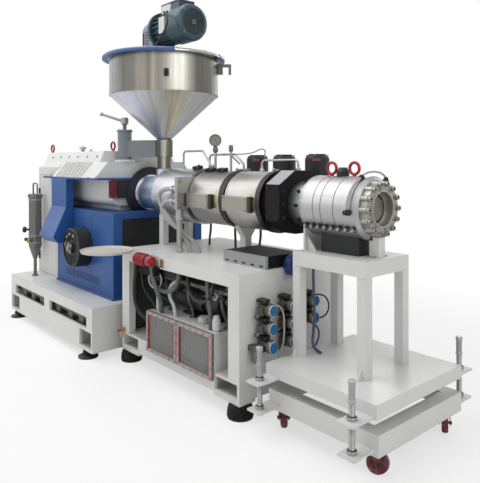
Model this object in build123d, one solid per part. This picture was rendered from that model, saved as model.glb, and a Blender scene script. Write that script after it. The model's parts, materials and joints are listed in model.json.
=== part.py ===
import os
from math import atan2, cos, degrees, hypot, pi, sin, tan
from build123d import *

os.makedirs("parts", exist_ok=True)

# Driving dimensions, in millimetres: x from the drive end, y from the barrel axis, z from the floor
axis_z = 1110               # height of the barrel axis
fit_gap = 0.3               # clearance round a curved seat
run_gap = 0.1               # clearance of a shaft in its bore
swing_gap = 6               # clearance under the hopper neck

# Drive base
base_length = 1578
base_half = 603
base_bottom = 51
base_top = 356
deck_t = 16
base_wall = 20
slot_first = 104
slot_length = 640
slot_pitch = 746
slot_height = 76
slot_z = 244
pocket_end = 19
pocket_length = 178
pocket_bottom = 73
pocket_height = 112
foot_r = 68
foot_stem_r = 26
foot_disc_h = 20
base_foot_inset = 116
base_foot_edge = 28
base_foot_y = base_half - base_foot_edge

# Drive cabinet and gearbox
cabinet_x0 = 500
cabinet_x1 = 1475
cabinet_half = 390
cabinet_top = axis_z - 135
plinth_out = 12
plinth_h = 18
port_x = 1003
port_z = base_top + 334
port_r = 152
port_depth = 120
motor_r = 148
motor_out = 100
motor_hub_r = 46
motor_hub_t = 18
vent_half = 320
vent_z0 = cabinet_top - 260
vent_z1 = cabinet_top - 45
vent_depth = 14
shelf_t = 14
shelf_top = axis_z + 115
duct_x0 = 517
duct_x1 = 804
duct_out = 60
duct_lip_y = cabinet_half + 166
duct_lip_z = shelf_top - 473
duct_kink_z = shelf_top - 240
duct_end_z = shelf_top - 520
duct_end_y = cabinet_half + 124
shelf_x0 = 330
shelf_x1 = 1330
shelf_half = cabinet_half + duct_out
cover_x0 = 80
cover_top = shelf_top + 75
louvre_count = 9
louvre_pitch = 62
louvre_h = 22
louvre_depth = 10
gear_half = cabinet_half - 90
gear_x1 = shelf_x1 - 40
gear_round = 60
gear_lift = 40
gear_foot_half = 200
gear_foot_inset = 60
crane_x = gear_x1 - 50
crane_y = -170
hood_x0 = 95
hood_x1 = crane_x - 80
hood_top = shelf_top + 205
hood_half = shelf_half - 10
hood_flat = gear_half
hood_break = gear_half + 35
tail_half = cabinet_half - 10
nose_top = shelf_top + 120
rib_count = 8
rib_first = 590
rib_pitch = 62
rib_t = 16
rib_proud = 22
bell_half = 280
bell_z0 = axis_z - 35
bell_r = 190
ring_r = 198
ring_t = 8
bell_lift = 8

# Oil filter
filter_x = 205
filter_y = cabinet_half + 80
filter_r = 53
filter_z0 = base_top + 260
filter_z1 = base_top + 681
filter_leg_r = 14
filter_cap_r = 62
filter_cap_h = 26
filter_handle_h = 96
filter_handle_r = 7
filter_handle_half = 48
filter_handle_bend = 22

# Barrel line
throat_r = 125
throat_length = 312
feed_x0 = shelf_x1 + ring_t + throat_length
feed_length = 405
feed_r = 188
flange_x0 = feed_x0 + feed_length
flange_t = 28
flange_half = 262
flange_z0 = axis_z - 75
flange_z1 = axis_z + 135
drain_r = 18
drain_inset = 28
drain_nut_r = 26
drain_nut_h = 70
shroud_r = 175
shroud_lip = 5
shroud1_length = 322
band_length = 45
shroud2_length = 285
shroud1_x1 = flange_x0 + flange_t + shroud1_length
shroud2_x0 = shroud1_x1 + band_length
shroud2_x1 = shroud2_x0 + shroud2_length
band_r = 182
collar_t = 34
neck_ring_r = 150
neck_ring_length = 66
block_length = 105
block_x0 = shroud2_x1 + collar_t + neck_ring_length
block_x1 = block_x0 + block_length
block_half = 190
block_z0 = axis_z - 165
block_z1 = axis_z + 183
block_bevel_y = 124
block_bevel_z = 76
cover_near = 198
cover_z0 = axis_z - 58
cover_z1 = axis_z + 32
cover_inset = 12
cover_length = 225
blower_y = 276
blower_x = (flange_x0 + 208, shroud2_x0 + 68, block_x0 - 37)
blower_r = 74
blower_rim_r = 82
blower_rim_h = 14
blower_dome = 26
blower_top = axis_z + 278
blower_neck_z = axis_z + 106
blower_box_z0 = axis_z - 48
blower_box_half = 84
blower_box_far = 356
pipe_r = 7
gauge_r = 40
gauge_t = 30
gauge_turn = -41
lead_r = 8
hose_r = 15
hose_bend = 34
stub_z = (axis_z + 55, axis_z - 25)
stub_y = 235
stub_r = 17
stub_reach = 70

# Hopper and its lifting crane
inlet_x = feed_x0 - 119
inlet_r = 58
inlet_top = axis_z + 180
neck_r = 50
neck_top = inlet_top + 220
hopper_r = 402
cone_top = neck_top + 325
hopper_top = cone_top + 261
hopper_t = 4
hook_angle = 49
hook_reach = 98
hook_half = 14
hook_t = 16
hook_drop = 72
hook_z = hopper_top - 24
lid_r = 452
lid_t = 20
lid_lip = 10
lid_sheet = 5
lid_seat = 14
motor_z = hopper_top + lid_t + 206
mixer_r = 130
mixer_core_r = 100
mixer_fin_r = 120
mixer_fin_t = 6
mixer_fins = 20
mixer_flange_r = 134
mixer_flange_t = 26
mixer_cover_x = inlet_x + 201
mixer_x1 = mixer_cover_x + 174
mixer_grille_r = 92
mixer_grille_d = 6
mixer_box_half = 66
mixer_box_x0 = inlet_x + 65
mixer_box_x1 = mixer_cover_x + 90
mixer_box_top = motor_z + 166
reducer_r = 115
reducer_half = 88
reducer_back = 165
reducer_front = -20
reducer_neck_r = 70
reducer_rib_out = 16
reducer_rib_t = 8
reducer_foot_t = 16
reducer_ribs = 5
boss_r = 78
boss_h = 17
boss_top = nose_top + boss_h
collar_h = 12
collar_top = boss_top + collar_h
post_r = 38
sleeve_r = 53
sleeve_top = collar_top + 201
cap_r = 60
cap_h = 15
arm_half = 32
arm_z0 = collar_top + 9
arm_z1 = neck_top - 2
clamp_wall = 12
spindle_r = 15
hub_r = 27
hub_z0 = sleeve_top + cap_h + 46
hub_h = 48
lever_reach = 177
lever_rise = 52
lever_r = 8
lever_knob_r = 15
lever_angle = 229

# Barrel stand
stand_x0 = feed_x0 + 12
stand_x1 = block_x0 + 47
stand_half = 422
stand_bottom = 94
stand_top_z = axis_z - 353
stand_apron = 76
stand_leg = 92
stand_leg_depth = 48
stand_sheet = 10
plinth_top = 196
plinth_t = 12
plinth_wall = 20
plinth_pocket = 186
plinth_pocket_z0 = 110
plinth_pocket_z1 = 182
panel_t = 12
stand_foot_inset = 46
tank_x0 = stand_x0 + 341
tank_x1 = tank_x0 + 668
tank_back = 30
tank_top = 405
tank_wall = 22
tank_room = 240
window_split = 8
window_z0 = 152
window_t = 14
pump_r = 74
pump_x0 = tank_x0 + 160
pump_x1 = pump_x0 + 400
pump_y = -240
tray_x = stand_x0 + 87
tray_y = -stand_half - 159
tray_r = 173
tray_h = 16
tray_wall = 5
tray_arm_half = 20
tray_arm_t = 16
coolant_x0 = tray_x + 166
coolant_x1 = coolant_x0 + 235
coolant_r = 50
coolant_z = stand_top_z - 5
coolant_out = 52
coolant_head = 90
unit_y = (-270, -112, 60)
unit_count = (3, 3, 2)
unit_z_top = stand_top_z - 193
unit_pitch = 95
unit_neck = 22
unit_bevel = 12
unit_r = 36
unit_reach = 92
box_x0 = shroud2_x0 + 60
box_x1 = box_x0 + 340
box_y0 = -215
box_y1 = 60
box_h = 40

# Die and its trolley
die_neck_r = 125
die_x0 = block_x1 + 120
die_x1 = die_x0 + 340
die_r = 158
die_groove_x = (die_x0 + 82, die_x0 + 133, die_x0 + 215)
die_groove_w = 5
die_groove_d = 4
die_end_x = die_x1 + 60
die_end_r = 140
die_ring_r = 128
die_bolts = 14
die_bolt_circle = 124
die_lug_r = 16
die_bore_r = 84
die_mouth_r = 72
die_mouth_depth = 60
die_core_r = 46
dome_r = 33
dome_h = 44
eye_r = 30
eye_wire_r = 8
eye_stem_r = 10
eye_stem_h = 9
die_eye_x = (die_x0 + 83, die_x0 + 230)
gear_eye_at = ((hood_x0 + 30, -hood_flat + 20), (hood_x1 - 20, -215))
table_x0 = die_x0 - 33
table_x1 = table_x0 + 463
table_half = 177
table_top = axis_z - 235
table_apron = 75
table_leg = 50
table_sheet = 8
gusset_w = 34
gusset_h = 52
gusset_t = 8
platform_x0 = table_x0 - 16
platform_x1 = table_x0 + 649
platform_half = 355
platform_z0 = 264
platform_top = 327
platform_t = 8
chassis_x0 = table_x0 - 4
chassis_x1 = chassis_x0 + 656
chassis_half = 346
chassis_z0 = 104
chassis_z1 = 199
chassis_web = 8
chassis_flange = 70
jack_inset = 62
jack_out = 97
jack_plate_half = 44
jack_plate_t = 10
jack_plate_reach = 140
jack_low_z = 125
jack_r = 12
jack_nut_r = 20
jack_nut_h = 16
jack_top = 436
jack_sleeve_r = 14
jack_sleeve_z0 = 345
castor_r = 50
castor_w = 32
castor_side_gap = 6
castor_trail = 22
castor_inset_x = 62
castor_inset_y = 46
castor_plate_z = 140
castor_crown_r = 33
castor_crown_z0 = 112
castor_cheek_t = 4
castor_axle_r = 6
castor_cheek_r = 12
castor_mount = 92
castor_headings = {"near_front": 49, "near_rear": 140, "far_front": 300, "far_rear": 160}

# The origin is under the middle of the outline
mid_x = chassis_x1 / 2
mid_y = (tray_y - tray_r + base_foot_y + foot_r) / 2
origin = Location((-mid_x, -mid_y, 0))


def save(name, *solids):
    shape = solids[0] if len(solids) == 1 else Compound(list(solids))
    export_step(shape.moved(origin), f"parts/{name}.step")


def block(x0, x1, y0, y1, z0, z1):
    return Pos((x0 + x1) / 2, (y0 + y1) / 2, (z0 + z1) / 2) * Box(x1 - x0, y1 - y0, z1 - z0)


def rod_x(x0, x1, radius, y=0, z=axis_z):
    return Pos((x0 + x1) / 2, y, z) * Rot(0, 90, 0) * Cylinder(radius, x1 - x0)


def rod_y(y0, y1, radius, x, z):
    return Pos(x, (y0 + y1) / 2, z) * Rot(90, 0, 0) * Cylinder(radius, y1 - y0)


def rod_z(z0, z1, radius, x, y):
    return Pos(x, y, (z0 + z1) / 2) * Cylinder(radius, z1 - z0)


def turned_x(points, y=0, z=axis_z):
    # points are (x, radius) pairs round an axis along x
    return Pos(0, y, z) * revolve(Plane.XZ * make_face(Polyline(*points, close=True)), axis=Axis.X)


def turned_z(points, x, y):
    # points are (radius, z) pairs round an upright axis
    return Pos(x, y, 0) * revolve(Plane.XZ * make_face(Polyline(*points, close=True)), axis=Axis.Z)


def along_x(points, x0, x1):
    # points are (y, z) pairs of a section carried along x
    return Pos(x0, 0, 0) * extrude(Plane.YZ * make_face(Polyline(*points, close=True)), x1 - x0)


def along_y(points, y0, y1):
    # points are (x, z) pairs of a section carried along y
    return Pos(0, y1, 0) * extrude(Plane.XZ * make_face(Polyline(*points, close=True)), y1 - y0)


def tube(points, radius, bend):
    path = FilletPolyline(*points, radius=bend)
    return sweep(Plane(path @ 0, z_dir=path % 0) * Circle(radius), path=path)


def both_sides(shape):
    return [shape, mirror(shape, about=Plane.XZ)]


# Drive base: a folded deck on two slotted side walls
def drive_base():
    skirt_in = base_half - base_wall
    deck = block(0, base_length, -base_half, base_half, base_top - deck_t, base_top)
    for x0 in (0, base_length - deck_t):
        deck += block(x0, x0 + deck_t, -skirt_in, skirt_in, base_bottom, base_top - deck_t)
    save("base_deck", deck)

    wall = block(0, base_length, -base_half, -skirt_in, base_bottom, base_top - deck_t)
    for i in range(2):
        x0 = slot_first + i * slot_pitch
        wall -= block(x0, x0 + slot_length, -base_half, -skirt_in,
                      slot_z - slot_height / 2, slot_z + slot_height / 2)
    for x0 in (pocket_end, base_length - pocket_end - pocket_length):
        wall -= block(x0, x0 + pocket_length, -base_half, -skirt_in,
                      pocket_bottom, pocket_bottom + pocket_height)
    save("base_sides", *both_sides(wall))


def foot(x, y, top):
    return turned_z([(0, 0), (foot_r, 0), (foot_r, foot_disc_h / 2), (foot_stem_r, foot_disc_h),
                     (foot_stem_r, top), (0, top)], x, y)


def levelling_feet():
    feet = []
    for x in (base_foot_inset, base_length - base_foot_inset):
        feet += both_sides(foot(x, base_foot_y, base_bottom))
    for x in (stand_x0 + stand_foot_inset, stand_x1 - stand_foot_inset):
        feet += both_sides(foot(x, stand_half - stand_foot_inset, stand_bottom))
    save("levelling_feet", *feet)


# Drive cabinet with a round port, and the motor end seen in it
def drive_cabinet():
    cabinet = block(cabinet_x0, cabinet_x1, -cabinet_half, cabinet_half, base_top, cabinet_top)
    cabinet += block(cabinet_x0, cabinet_x1 + plinth_out, -cabinet_half - plinth_out,
                     cabinet_half + plinth_out, base_top, base_top + plinth_h)
    cabinet -= rod_y(-cabinet_half, -cabinet_half + port_depth, port_r, port_x, port_z)
    cabinet -= block(cabinet_x1 - vent_depth, cabinet_x1, -vent_half, vent_half, vent_z0, vent_z1)
    save("drive_cabinet", cabinet)

    front = -cabinet_half - motor_out
    motor = rod_y(front, -cabinet_half + port_depth, motor_r, port_x, port_z)
    motor += rod_y(front - motor_hub_t, front, motor_hub_r, port_x, port_z)
    save("drive_motor", motor)

    duct = along_x([(-cabinet_half, shelf_top - shelf_t), (-cabinet_half - duct_out, shelf_top - shelf_t),
                    (-cabinet_half - duct_out, duct_kink_z), (-duct_lip_y, duct_lip_z),
                    (-duct_end_y, duct_end_z), (-cabinet_half, duct_end_z)], duct_x0, duct_x1)
    shelf = block(shelf_x0, shelf_x1, -shelf_half, shelf_half, shelf_top - shelf_t, shelf_top)
    shelf -= block(shelf_x0, cabinet_x0, -cabinet_half, cabinet_half, shelf_top - shelf_t, shelf_top)
    shelf -= block(cabinet_x0, gear_x1, -gear_half, gear_half, shelf_top - shelf_t, shelf_top)
    for side in both_sides(duct):
        shelf += side
    save("cabinet_ducts", shelf)


# Rear cover with louvres in its end
def rear_cover():
    cover = block(cover_x0, cabinet_x0, -cabinet_half, cabinet_half, base_top, cover_top)
    middle = (base_top + cover_top) / 2
    for i in range(louvre_count):
        z = middle + (i - (louvre_count - 1) / 2) * louvre_pitch
        cover -= block(cover_x0, cover_x0 + louvre_depth, -cabinet_half * 0.7, cabinet_half * 0.7,
                       z - louvre_h / 2, z + louvre_h / 2)
    save("rear_cover", cover)


# Gearbox: rounded case through the shelf, sloped hood with ribs, boss for the crane post
def gearbox():
    case_bottom = cabinet_top + gear_lift
    case = block(cabinet_x0, gear_x1, -gear_half, gear_half, case_bottom, shelf_top)
    low_edges = case.edges().filter_by(Axis.X).group_by(Axis.Z)[0]
    case = fillet(low_edges, gear_round)
    case += block(cabinet_x0 + gear_foot_inset, gear_x1 - gear_foot_inset, -gear_foot_half, gear_foot_half,
                  cabinet_top, case_bottom)
    hood = along_x([(-hood_half, shelf_top), (-hood_break, nose_top), (-hood_flat, hood_top),
                    (hood_flat, hood_top), (hood_break, nose_top), (hood_half, shelf_top)],
                   cabinet_x0, hood_x1)
    hood += along_x([(-hood_half, shelf_top), (-hood_break, nose_top), (hood_break, nose_top),
                     (hood_half, shelf_top)], hood_x1, gear_x1)
    hood += along_x([(-tail_half, cover_top), (-hood_break, nose_top), (-hood_flat, hood_top),
                     (hood_flat, hood_top), (hood_break, nose_top), (tail_half, cover_top)],
                    hood_x0, cabinet_x0)
    for i in range(rib_count):
        x0 = rib_first + i * rib_pitch
        rib = along_x([(-hood_half, shelf_top), (-hood_half, shelf_top + rib_proud),
                       (-hood_break - rib_proud, nose_top), (-hood_break, nose_top)], x0, x0 + rib_t)
        for side in both_sides(rib):
            hood += side
    hood += rod_z(nose_top, nose_top + boss_h, boss_r, crane_x, crane_y)
    save("gearbox", case + hood)


def eye(x, y, z):
    # ring bolt standing on a face at height z
    stem = rod_z(z, z + eye_stem_h, eye_stem_r, x, y)
    ring = Pos(x, y, z + eye_stem_h + eye_r) * Rot(90, 0, 0) * Torus(eye_r, eye_wire_r)
    return stem + ring


def lifting_eyes():
    eyes = [eye(x, 0, axis_z + die_r) for x in die_eye_x]
    eyes += [eye(x, y, hood_top) for x, y in gear_eye_at]
    save("lifting_eyes", *eyes)


# Bell housing between gearbox and barrel
def bell_housing():
    bell = block(gear_x1, shelf_x1, -bell_half, bell_half, bell_z0, shelf_top - shelf_t)
    bell += rod_x(gear_x1, shelf_x1, bell_r) - block(gear_x1, shelf_x1, -bell_r, bell_r,
                                                     shelf_top - shelf_t, axis_z + bell_r)
    bell += rod_x(shelf_x1, shelf_x1 + ring_t, ring_r)
    bell -= block(gear_x1, shelf_x1 + ring_t, -ring_r, ring_r, axis_z - ring_r, cabinet_top + bell_lift)
    save("bell_housing", bell)


# Oil filter on a leg, with a loop handle
def oil_filter():
    y = -filter_y
    body = turned_z([(0, base_top), (filter_leg_r * 2, base_top), (filter_leg_r * 2, base_top + 8),
                     (filter_leg_r, base_top + 8), (filter_leg_r, filter_z0 - 120), (filter_r, filter_z0),
                     (filter_r, filter_z1), (filter_cap_r, filter_z1),
                     (filter_cap_r, filter_z1 + filter_cap_h), (0, filter_z1 + filter_cap_h)], filter_x, y)
    z0 = filter_z1 + filter_cap_h
    z1 = z0 + filter_handle_h
    handle = tube([(filter_x - filter_handle_half, y, z0), (filter_x - filter_handle_half, y, z1),
                   (filter_x + filter_handle_half, y, z1), (filter_x + filter_handle_half, y, z0)],
                  filter_handle_r, filter_handle_bend)
    save("oil_filter", body + handle)


# Barrel line
def barrel_envelope():
    # everything round on the barrel line that pieces seat on
    shape = rod_x(feed_x0, flange_x0, feed_r)
    shape += rod_x(flange_x0 + flange_t, shroud2_x1, shroud_r)
    return shape


def barrel():
    throat_x0 = shelf_x1 + ring_t
    throat = rod_x(throat_x0, feed_x0, throat_r)
    throat += rod_z(axis_z, inlet_top, inlet_r, inlet_x, 0)
    throat -= rod_z(axis_z, inlet_top, neck_r - hopper_t, inlet_x, 0)
    save("feed_throat", throat)
    save("feed_barrel", rod_x(feed_x0, flange_x0, feed_r))

    flange = block(flange_x0, flange_x0 + flange_t, -flange_half, flange_half, flange_z0, flange_z1)
    drain_x = flange_x0 + flange_t / 2
    drain_y = -flange_half + drain_inset
    flange += rod_z(stand_top_z, flange_z0, drain_r, drain_x, drain_y)
    flange += rod_z(flange_z0 - drain_nut_h, flange_z0, drain_nut_r, drain_x, drain_y)
    for z in stub_z:
        flange += rod_x(flange_x0 - stub_reach, flange_x0, stub_r, -stub_y, z)
    save("barrel_flange", flange)

    shrouds = []
    for x0, x1 in ((flange_x0 + flange_t, shroud1_x1), (shroud2_x0, shroud2_x1)):
        shroud = turned_x([(x0, 0), (x0, shroud_r - shroud_lip), (x0 + shroud_lip, shroud_r),
                           (x1 - shroud_lip, shroud_r), (x1, shroud_r - shroud_lip), (x1, 0)])
        x0 += cover_inset
        shrouds.append(shroud + block(x0, x0 + cover_length, -cover_near, 0, cover_z0, cover_z1))
    save("barrel_shrouds", *shrouds)

    band = rod_x(shroud1_x1, shroud2_x0, band_r)
    collar = rod_x(shroud2_x1, shroud2_x1 + collar_t, band_r)
    collar += rod_x(shroud2_x1 + collar_t, block_x0, neck_ring_r)
    save("barrel_rings", band, collar)

    half, by, bz = block_half, block_bevel_y, block_bevel_z
    save("heater_block", along_x([
        (-half, block_z0 + bz), (-half, block_z1 - bz), (-half + by, block_z1), (half - by, block_z1),
        (half, block_z1 - bz), (half, block_z0 + bz), (half - by, block_z0), (-half + by, block_z0)],
        block_x0, block_x1))


def blowers():
    fans = []
    for x in blower_x:
        seat = block_half if x > shroud2_x1 else 0
        box = block(x - blower_box_half, x + blower_box_half, seat, blower_box_far,
                    blower_box_z0, blower_neck_z)
        box = box - barrel_envelope() - rod_x(shroud1_x1, block_x0, band_r)
        rim_z = blower_neck_z + blower_rim_h
        cap = turned_z([(0, blower_neck_z), (blower_rim_r, blower_neck_z), (blower_rim_r, rim_z),
                        (blower_r, rim_z), (blower_r, blower_top - blower_dome),
                        (blower_r - 8, blower_top - 10),
                        (blower_r - blower_dome, blower_top), (0, blower_top)], x, blower_y)
        fans.append(box + cap)
    save("blowers", *fans)


# Cooling pipes, gauge and valve over the barrel
def vent_pipes():
    low = axis_z + shroud_r - 30
    high = axis_z + 309
    pieces = []
    x0, x1, x2 = feed_x0 + 134, flange_x0 - 43, flange_x0 + 54
    loop1 = tube([(x0, 0, low), (x0, 0, high), (x1, 0, high), (x2, 0, high - 103), (x2, 0, low)], pipe_r, 26)
    x0, x1, x2 = flange_x0 - 25, shroud1_x1 - 105, shroud1_x1 - 20
    high = axis_z + 282
    y = 45
    loop2 = tube([(x0, y, low), (x0, y, high), (x1, y, high), (x2, y, high - 62), (x2, y, low)], pipe_r, 26)
    x0, x1 = shroud2_x1 - 133, block_x1 - 40
    high = axis_z + 242
    loop3 = tube([(x0, 0, low), (x0, 0, high), (x1, 0, high), (x1, 0, block_z1)], pipe_r, 26)
    x0 = flange_x0 + 94
    dial_z = axis_z + 376
    gauge = rod_z(low, dial_z - gauge_r + 6, 9, x0, 0)
    gauge += Pos(x0, 0, dial_z) * Rot(0, 0, gauge_turn) * Rot(0, 90, 0) * Cylinder(gauge_r, gauge_t)
    x0 = shroud1_x1 - 59
    valve = rod_z(low, axis_z + 298, 8, x0, -30) + rod_z(axis_z + 298, axis_z + 340, 11, x0, -30)
    for piece in (loop1, loop2, loop3, gauge, valve):
        pieces.append(piece - barrel_envelope())
    save("vent_pipes", *pieces)


# Stands under the barrel
def barrel_supports():
    x0 = stand_x0 + 6
    portal = block(x0, x0 + 50, -130, 130, stand_top_z, axis_z - 100)
    portal -= block(x0, x0 + 50, -85, 85, stand_top_z, stand_top_z + 140)
    portal -= rod_x(x0, x0 + 50, feed_r)
    x0 = shroud2_x0 - 20
    fork = along_x([(-60, stand_top_z), (60, stand_top_z), (60, stand_top_z + 18), (25, stand_top_z + 43),
                    (25, stand_top_z + 123), (92, axis_z - 145), (-92, axis_z - 145),
                    (-25, stand_top_z + 123),
                    (-25, stand_top_z + 43), (-60, stand_top_z + 18)], x0, x0 + 50)
    fork -= rod_x(x0, shroud2_x0, band_r) + rod_x(shroud2_x0, x0 + 50, shroud_r)
    save("barrel_supports", portal, fork)


def flexible_lines():
    leads = []
    for x, lean in ((feed_x0 + 280, 14), (flange_x0 + 160, -16), (shroud2_x0 - 2, 12)):
        lead = tube([(x, 120, stand_top_z), (x, 120, stand_top_z + 50), (x + lean, 128, stand_top_z + 140),
                     (x, 118, axis_z - 60)], lead_r, 60)
        leads.append(lead - barrel_envelope() - rod_x(shroud1_x1, shroud2_x0, band_r))
    save("heater_leads", *leads)
    hoses = []
    ends = ((flange_x0 - 213, flange_x0 + 60, -180), (flange_x0 - 175, flange_x0 + 110, -146))
    for z, (x_left, x_end, y_end) in zip(stub_z, ends):
        hoses.append(tube([(flange_x0 - stub_reach, -stub_y, z), (x_left, -stub_y, z),
                           (x_left - 8, -stub_y - 12, z - 110), (x_end, y_end, stand_top_z + 60),
                           (x_end, y_end, stand_top_z)], hose_r, hose_bend))
    save("cooling_hoses", *hoses)


# Hopper with lid, mixer motor and crane
def hopper():
    bottom = inlet_top + swing_gap
    lean = atan2(hopper_r - neck_r, cone_top - neck_top)
    step = hopper_t * tan(lean / 2)
    drum = turned_z([(hopper_r, cone_top + step), (hopper_r, hopper_top), (hopper_r - hopper_t, hopper_top),
                     (hopper_r - hopper_t, cone_top + step)], inlet_x, 0)
    cone = turned_z([(neck_r - hopper_t, neck_top), (neck_r, neck_top), (hopper_r, cone_top),
                     (hopper_r, cone_top + step), (hopper_r - hopper_t, cone_top + step),
                     (neck_r - hopper_t, neck_top + step)], inlet_x, 0)
    save("hopper_neck", turned_z([(neck_r, bottom), (neck_r, neck_top), (neck_r - hopper_t, neck_top),
                                  (neck_r - hopper_t, bottom)], inlet_x, 0))
    save("hopper_cone", cone)
    hook = block(hopper_r - hopper_t / 2, hopper_r + hook_reach, -hook_half, hook_half,
                 hook_z - hook_t, hook_z)
    hook += block(hopper_r + hook_reach - hook_t, hopper_r + hook_reach, -hook_half, hook_half,
                  hook_z - hook_drop, hook_z)
    hook += block(hopper_r - hopper_t / 2, hopper_r + hook_drop / 2, -hook_half, hook_half,
                  hook_z - hook_drop, hook_z)
    hook -= rod_z(hook_z - hook_drop, hook_z, hopper_r - hopper_t / 2, 0, 0)
    save("hopper_drum", drum + Pos(inlet_x, 0, 0) * Rot(0, 0, hook_angle) * hook)

    top = hopper_top + lid_t
    lid = turned_z([(0, top - lid_sheet), (hopper_r - lid_seat, top - lid_sheet),
                    (hopper_r - lid_seat, hopper_top),
                    (hopper_r + lid_seat, hopper_top), (hopper_r + lid_seat, top - lid_lip - lid_sheet),
                    (lid_r - lid_sheet, top - lid_lip - lid_sheet), (lid_r - lid_sheet, hopper_top),
                    (lid_r, hopper_top), (lid_r, top - lid_lip), (lid_r - lid_lip, top), (0, top)],
                   inlet_x, 0)
    save("hopper_lid", lid)

    x0 = inlet_x - reducer_back
    x1 = inlet_x + reducer_front
    reducer = rod_z(top, top + reducer_foot_t, reducer_r, inlet_x, 0)
    reducer += block(x0, x1, -reducer_half, reducer_half, top + reducer_foot_t, motor_z)
    reducer += rod_x(x0, x1, reducer_half, 0, motor_z)
    for i in range(reducer_ribs):
        y = (i - (reducer_ribs - 1) / 2) * reducer_half * 0.4
        reducer += block(x0 - reducer_rib_out, x0, y - reducer_rib_t / 2, y + reducer_rib_t / 2,
                         top + 2 * reducer_foot_t, motor_z)
    reducer += rod_z(top + reducer_foot_t, motor_z - mixer_flange_r - 2, reducer_neck_r, inlet_x, 0)
    save("gear_reducer", reducer)

    x2 = x1 + mixer_flange_t
    mixer = rod_x(x1, x2, mixer_flange_r, 0, motor_z)
    mixer += rod_x(x2, mixer_cover_x, mixer_core_r, 0, motor_z)
    for i in range(mixer_fins):
        fin = block(x2, mixer_cover_x, mixer_core_r - 4, mixer_fin_r, -mixer_fin_t / 2, mixer_fin_t / 2)
        mixer += Pos(0, 0, motor_z) * Rot(360 / mixer_fins * i, 0, 0) * fin
    mixer += turned_x([(mixer_cover_x, 0), (mixer_cover_x, mixer_r), (mixer_x1 - 30, mixer_r),
                       (mixer_x1 - 8, mixer_r - 8), (mixer_x1, mixer_r - 26), (mixer_x1, mixer_grille_r),
                       (mixer_x1 - mixer_grille_d, mixer_grille_r), (mixer_x1 - mixer_grille_d, 0)],
                      0, motor_z)
    mixer += block(mixer_box_x0, mixer_box_x1, -mixer_box_half, mixer_box_half,
                   motor_z + mixer_core_r * 0.6, mixer_box_top)
    save("gear_motor", mixer)


def crane():
    save("crane_post", turned_z([(0, boss_top), (sleeve_r, boss_top), (sleeve_r, collar_top),
                                 (post_r, collar_top),
                                 (post_r, sleeve_top - 12), (0, sleeve_top - 12)], crane_x, crane_y))
    reach = hypot(inlet_x - crane_x, crane_y)
    turn = degrees(atan2(-crane_y, inlet_x - crane_x))
    arm = block(0, reach, -arm_half, arm_half, arm_z0, arm_z1)
    arm += rod_z(collar_top + fit_gap, sleeve_top, sleeve_r, 0, 0)
    arm += rod_z(sleeve_top, sleeve_top + cap_h, cap_r, 0, 0)
    arm += rod_z(arm_z0, arm_z1, neck_r + clamp_wall, reach, 0)
    arm += rod_z(sleeve_top + cap_h, hub_z0 + hub_h, spindle_r, 0, 0)
    arm += rod_z(hub_z0 - 6, hub_z0, spindle_r + 6, 0, 0)
    arm -= rod_z(arm_z0, arm_z1, neck_r + fit_gap, reach, 0)
    arm -= rod_z(collar_top, sleeve_top, post_r + run_gap, 0, 0)
    save("swing_arm", Pos(crane_x, crane_y, 0) * Rot(0, 0, turn) * arm)

    hub_top = hub_z0 + hub_h
    lever = rod_z(hub_z0, hub_top, hub_r, 0, 0)
    start = (spindle_r + 4, 0, hub_z0 + hub_h / 2)
    end = (lever_reach, 0, hub_z0 + hub_h / 2 + lever_rise)
    line = Line(start, end)
    lever += sweep(Plane(line @ 0, z_dir=line % 0) * Circle(lever_r), path=line)
    lever += Pos(*end) * Sphere(lever_knob_r)
    lever -= rod_z(hub_z0, hub_top, spindle_r + run_gap, 0, 0)
    save("lift_lever", Pos(crane_x, crane_y, 0) * Rot(0, 0, lever_angle) * lever)


# Barrel stand: table, legs, drip pan, end panel
def stand():
    under = stand_top_z - stand_apron
    top = block(stand_x0, stand_x1, -stand_half, stand_half, under, stand_top_z)
    top -= block(stand_x0 + stand_sheet, stand_x1 - stand_sheet, -stand_half + stand_sheet,
                 stand_half - stand_sheet, under, stand_top_z - stand_sheet)
    save("stand_top", top)
    legs = []
    for x0 in (stand_x0, stand_x1 - stand_leg):
        legs += both_sides(block(x0, x0 + stand_leg, -stand_half, -stand_half + stand_leg_depth,
                                 plinth_top, under))
    save("stand_legs", *legs)

    plinth = block(stand_x0, stand_x1, -stand_half, stand_half, stand_bottom, plinth_top)
    inner = stand_half - plinth_wall
    plinth -= block(stand_x0 + plinth_wall, stand_x1 - plinth_wall, -inner, inner,
                    stand_bottom, plinth_top - plinth_t)
    for x0 in (stand_x0 + pocket_end, stand_x1 - pocket_end - plinth_pocket):
        plinth -= block(x0, x0 + plinth_pocket, -stand_half, stand_half, plinth_pocket_z0, plinth_pocket_z1)
    save("stand_plinth", plinth)

    y1 = stand_half - stand_leg_depth
    save("end_panel", block(stand_x1 - panel_t, stand_x1, -y1, y1, plinth_top, under))


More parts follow.
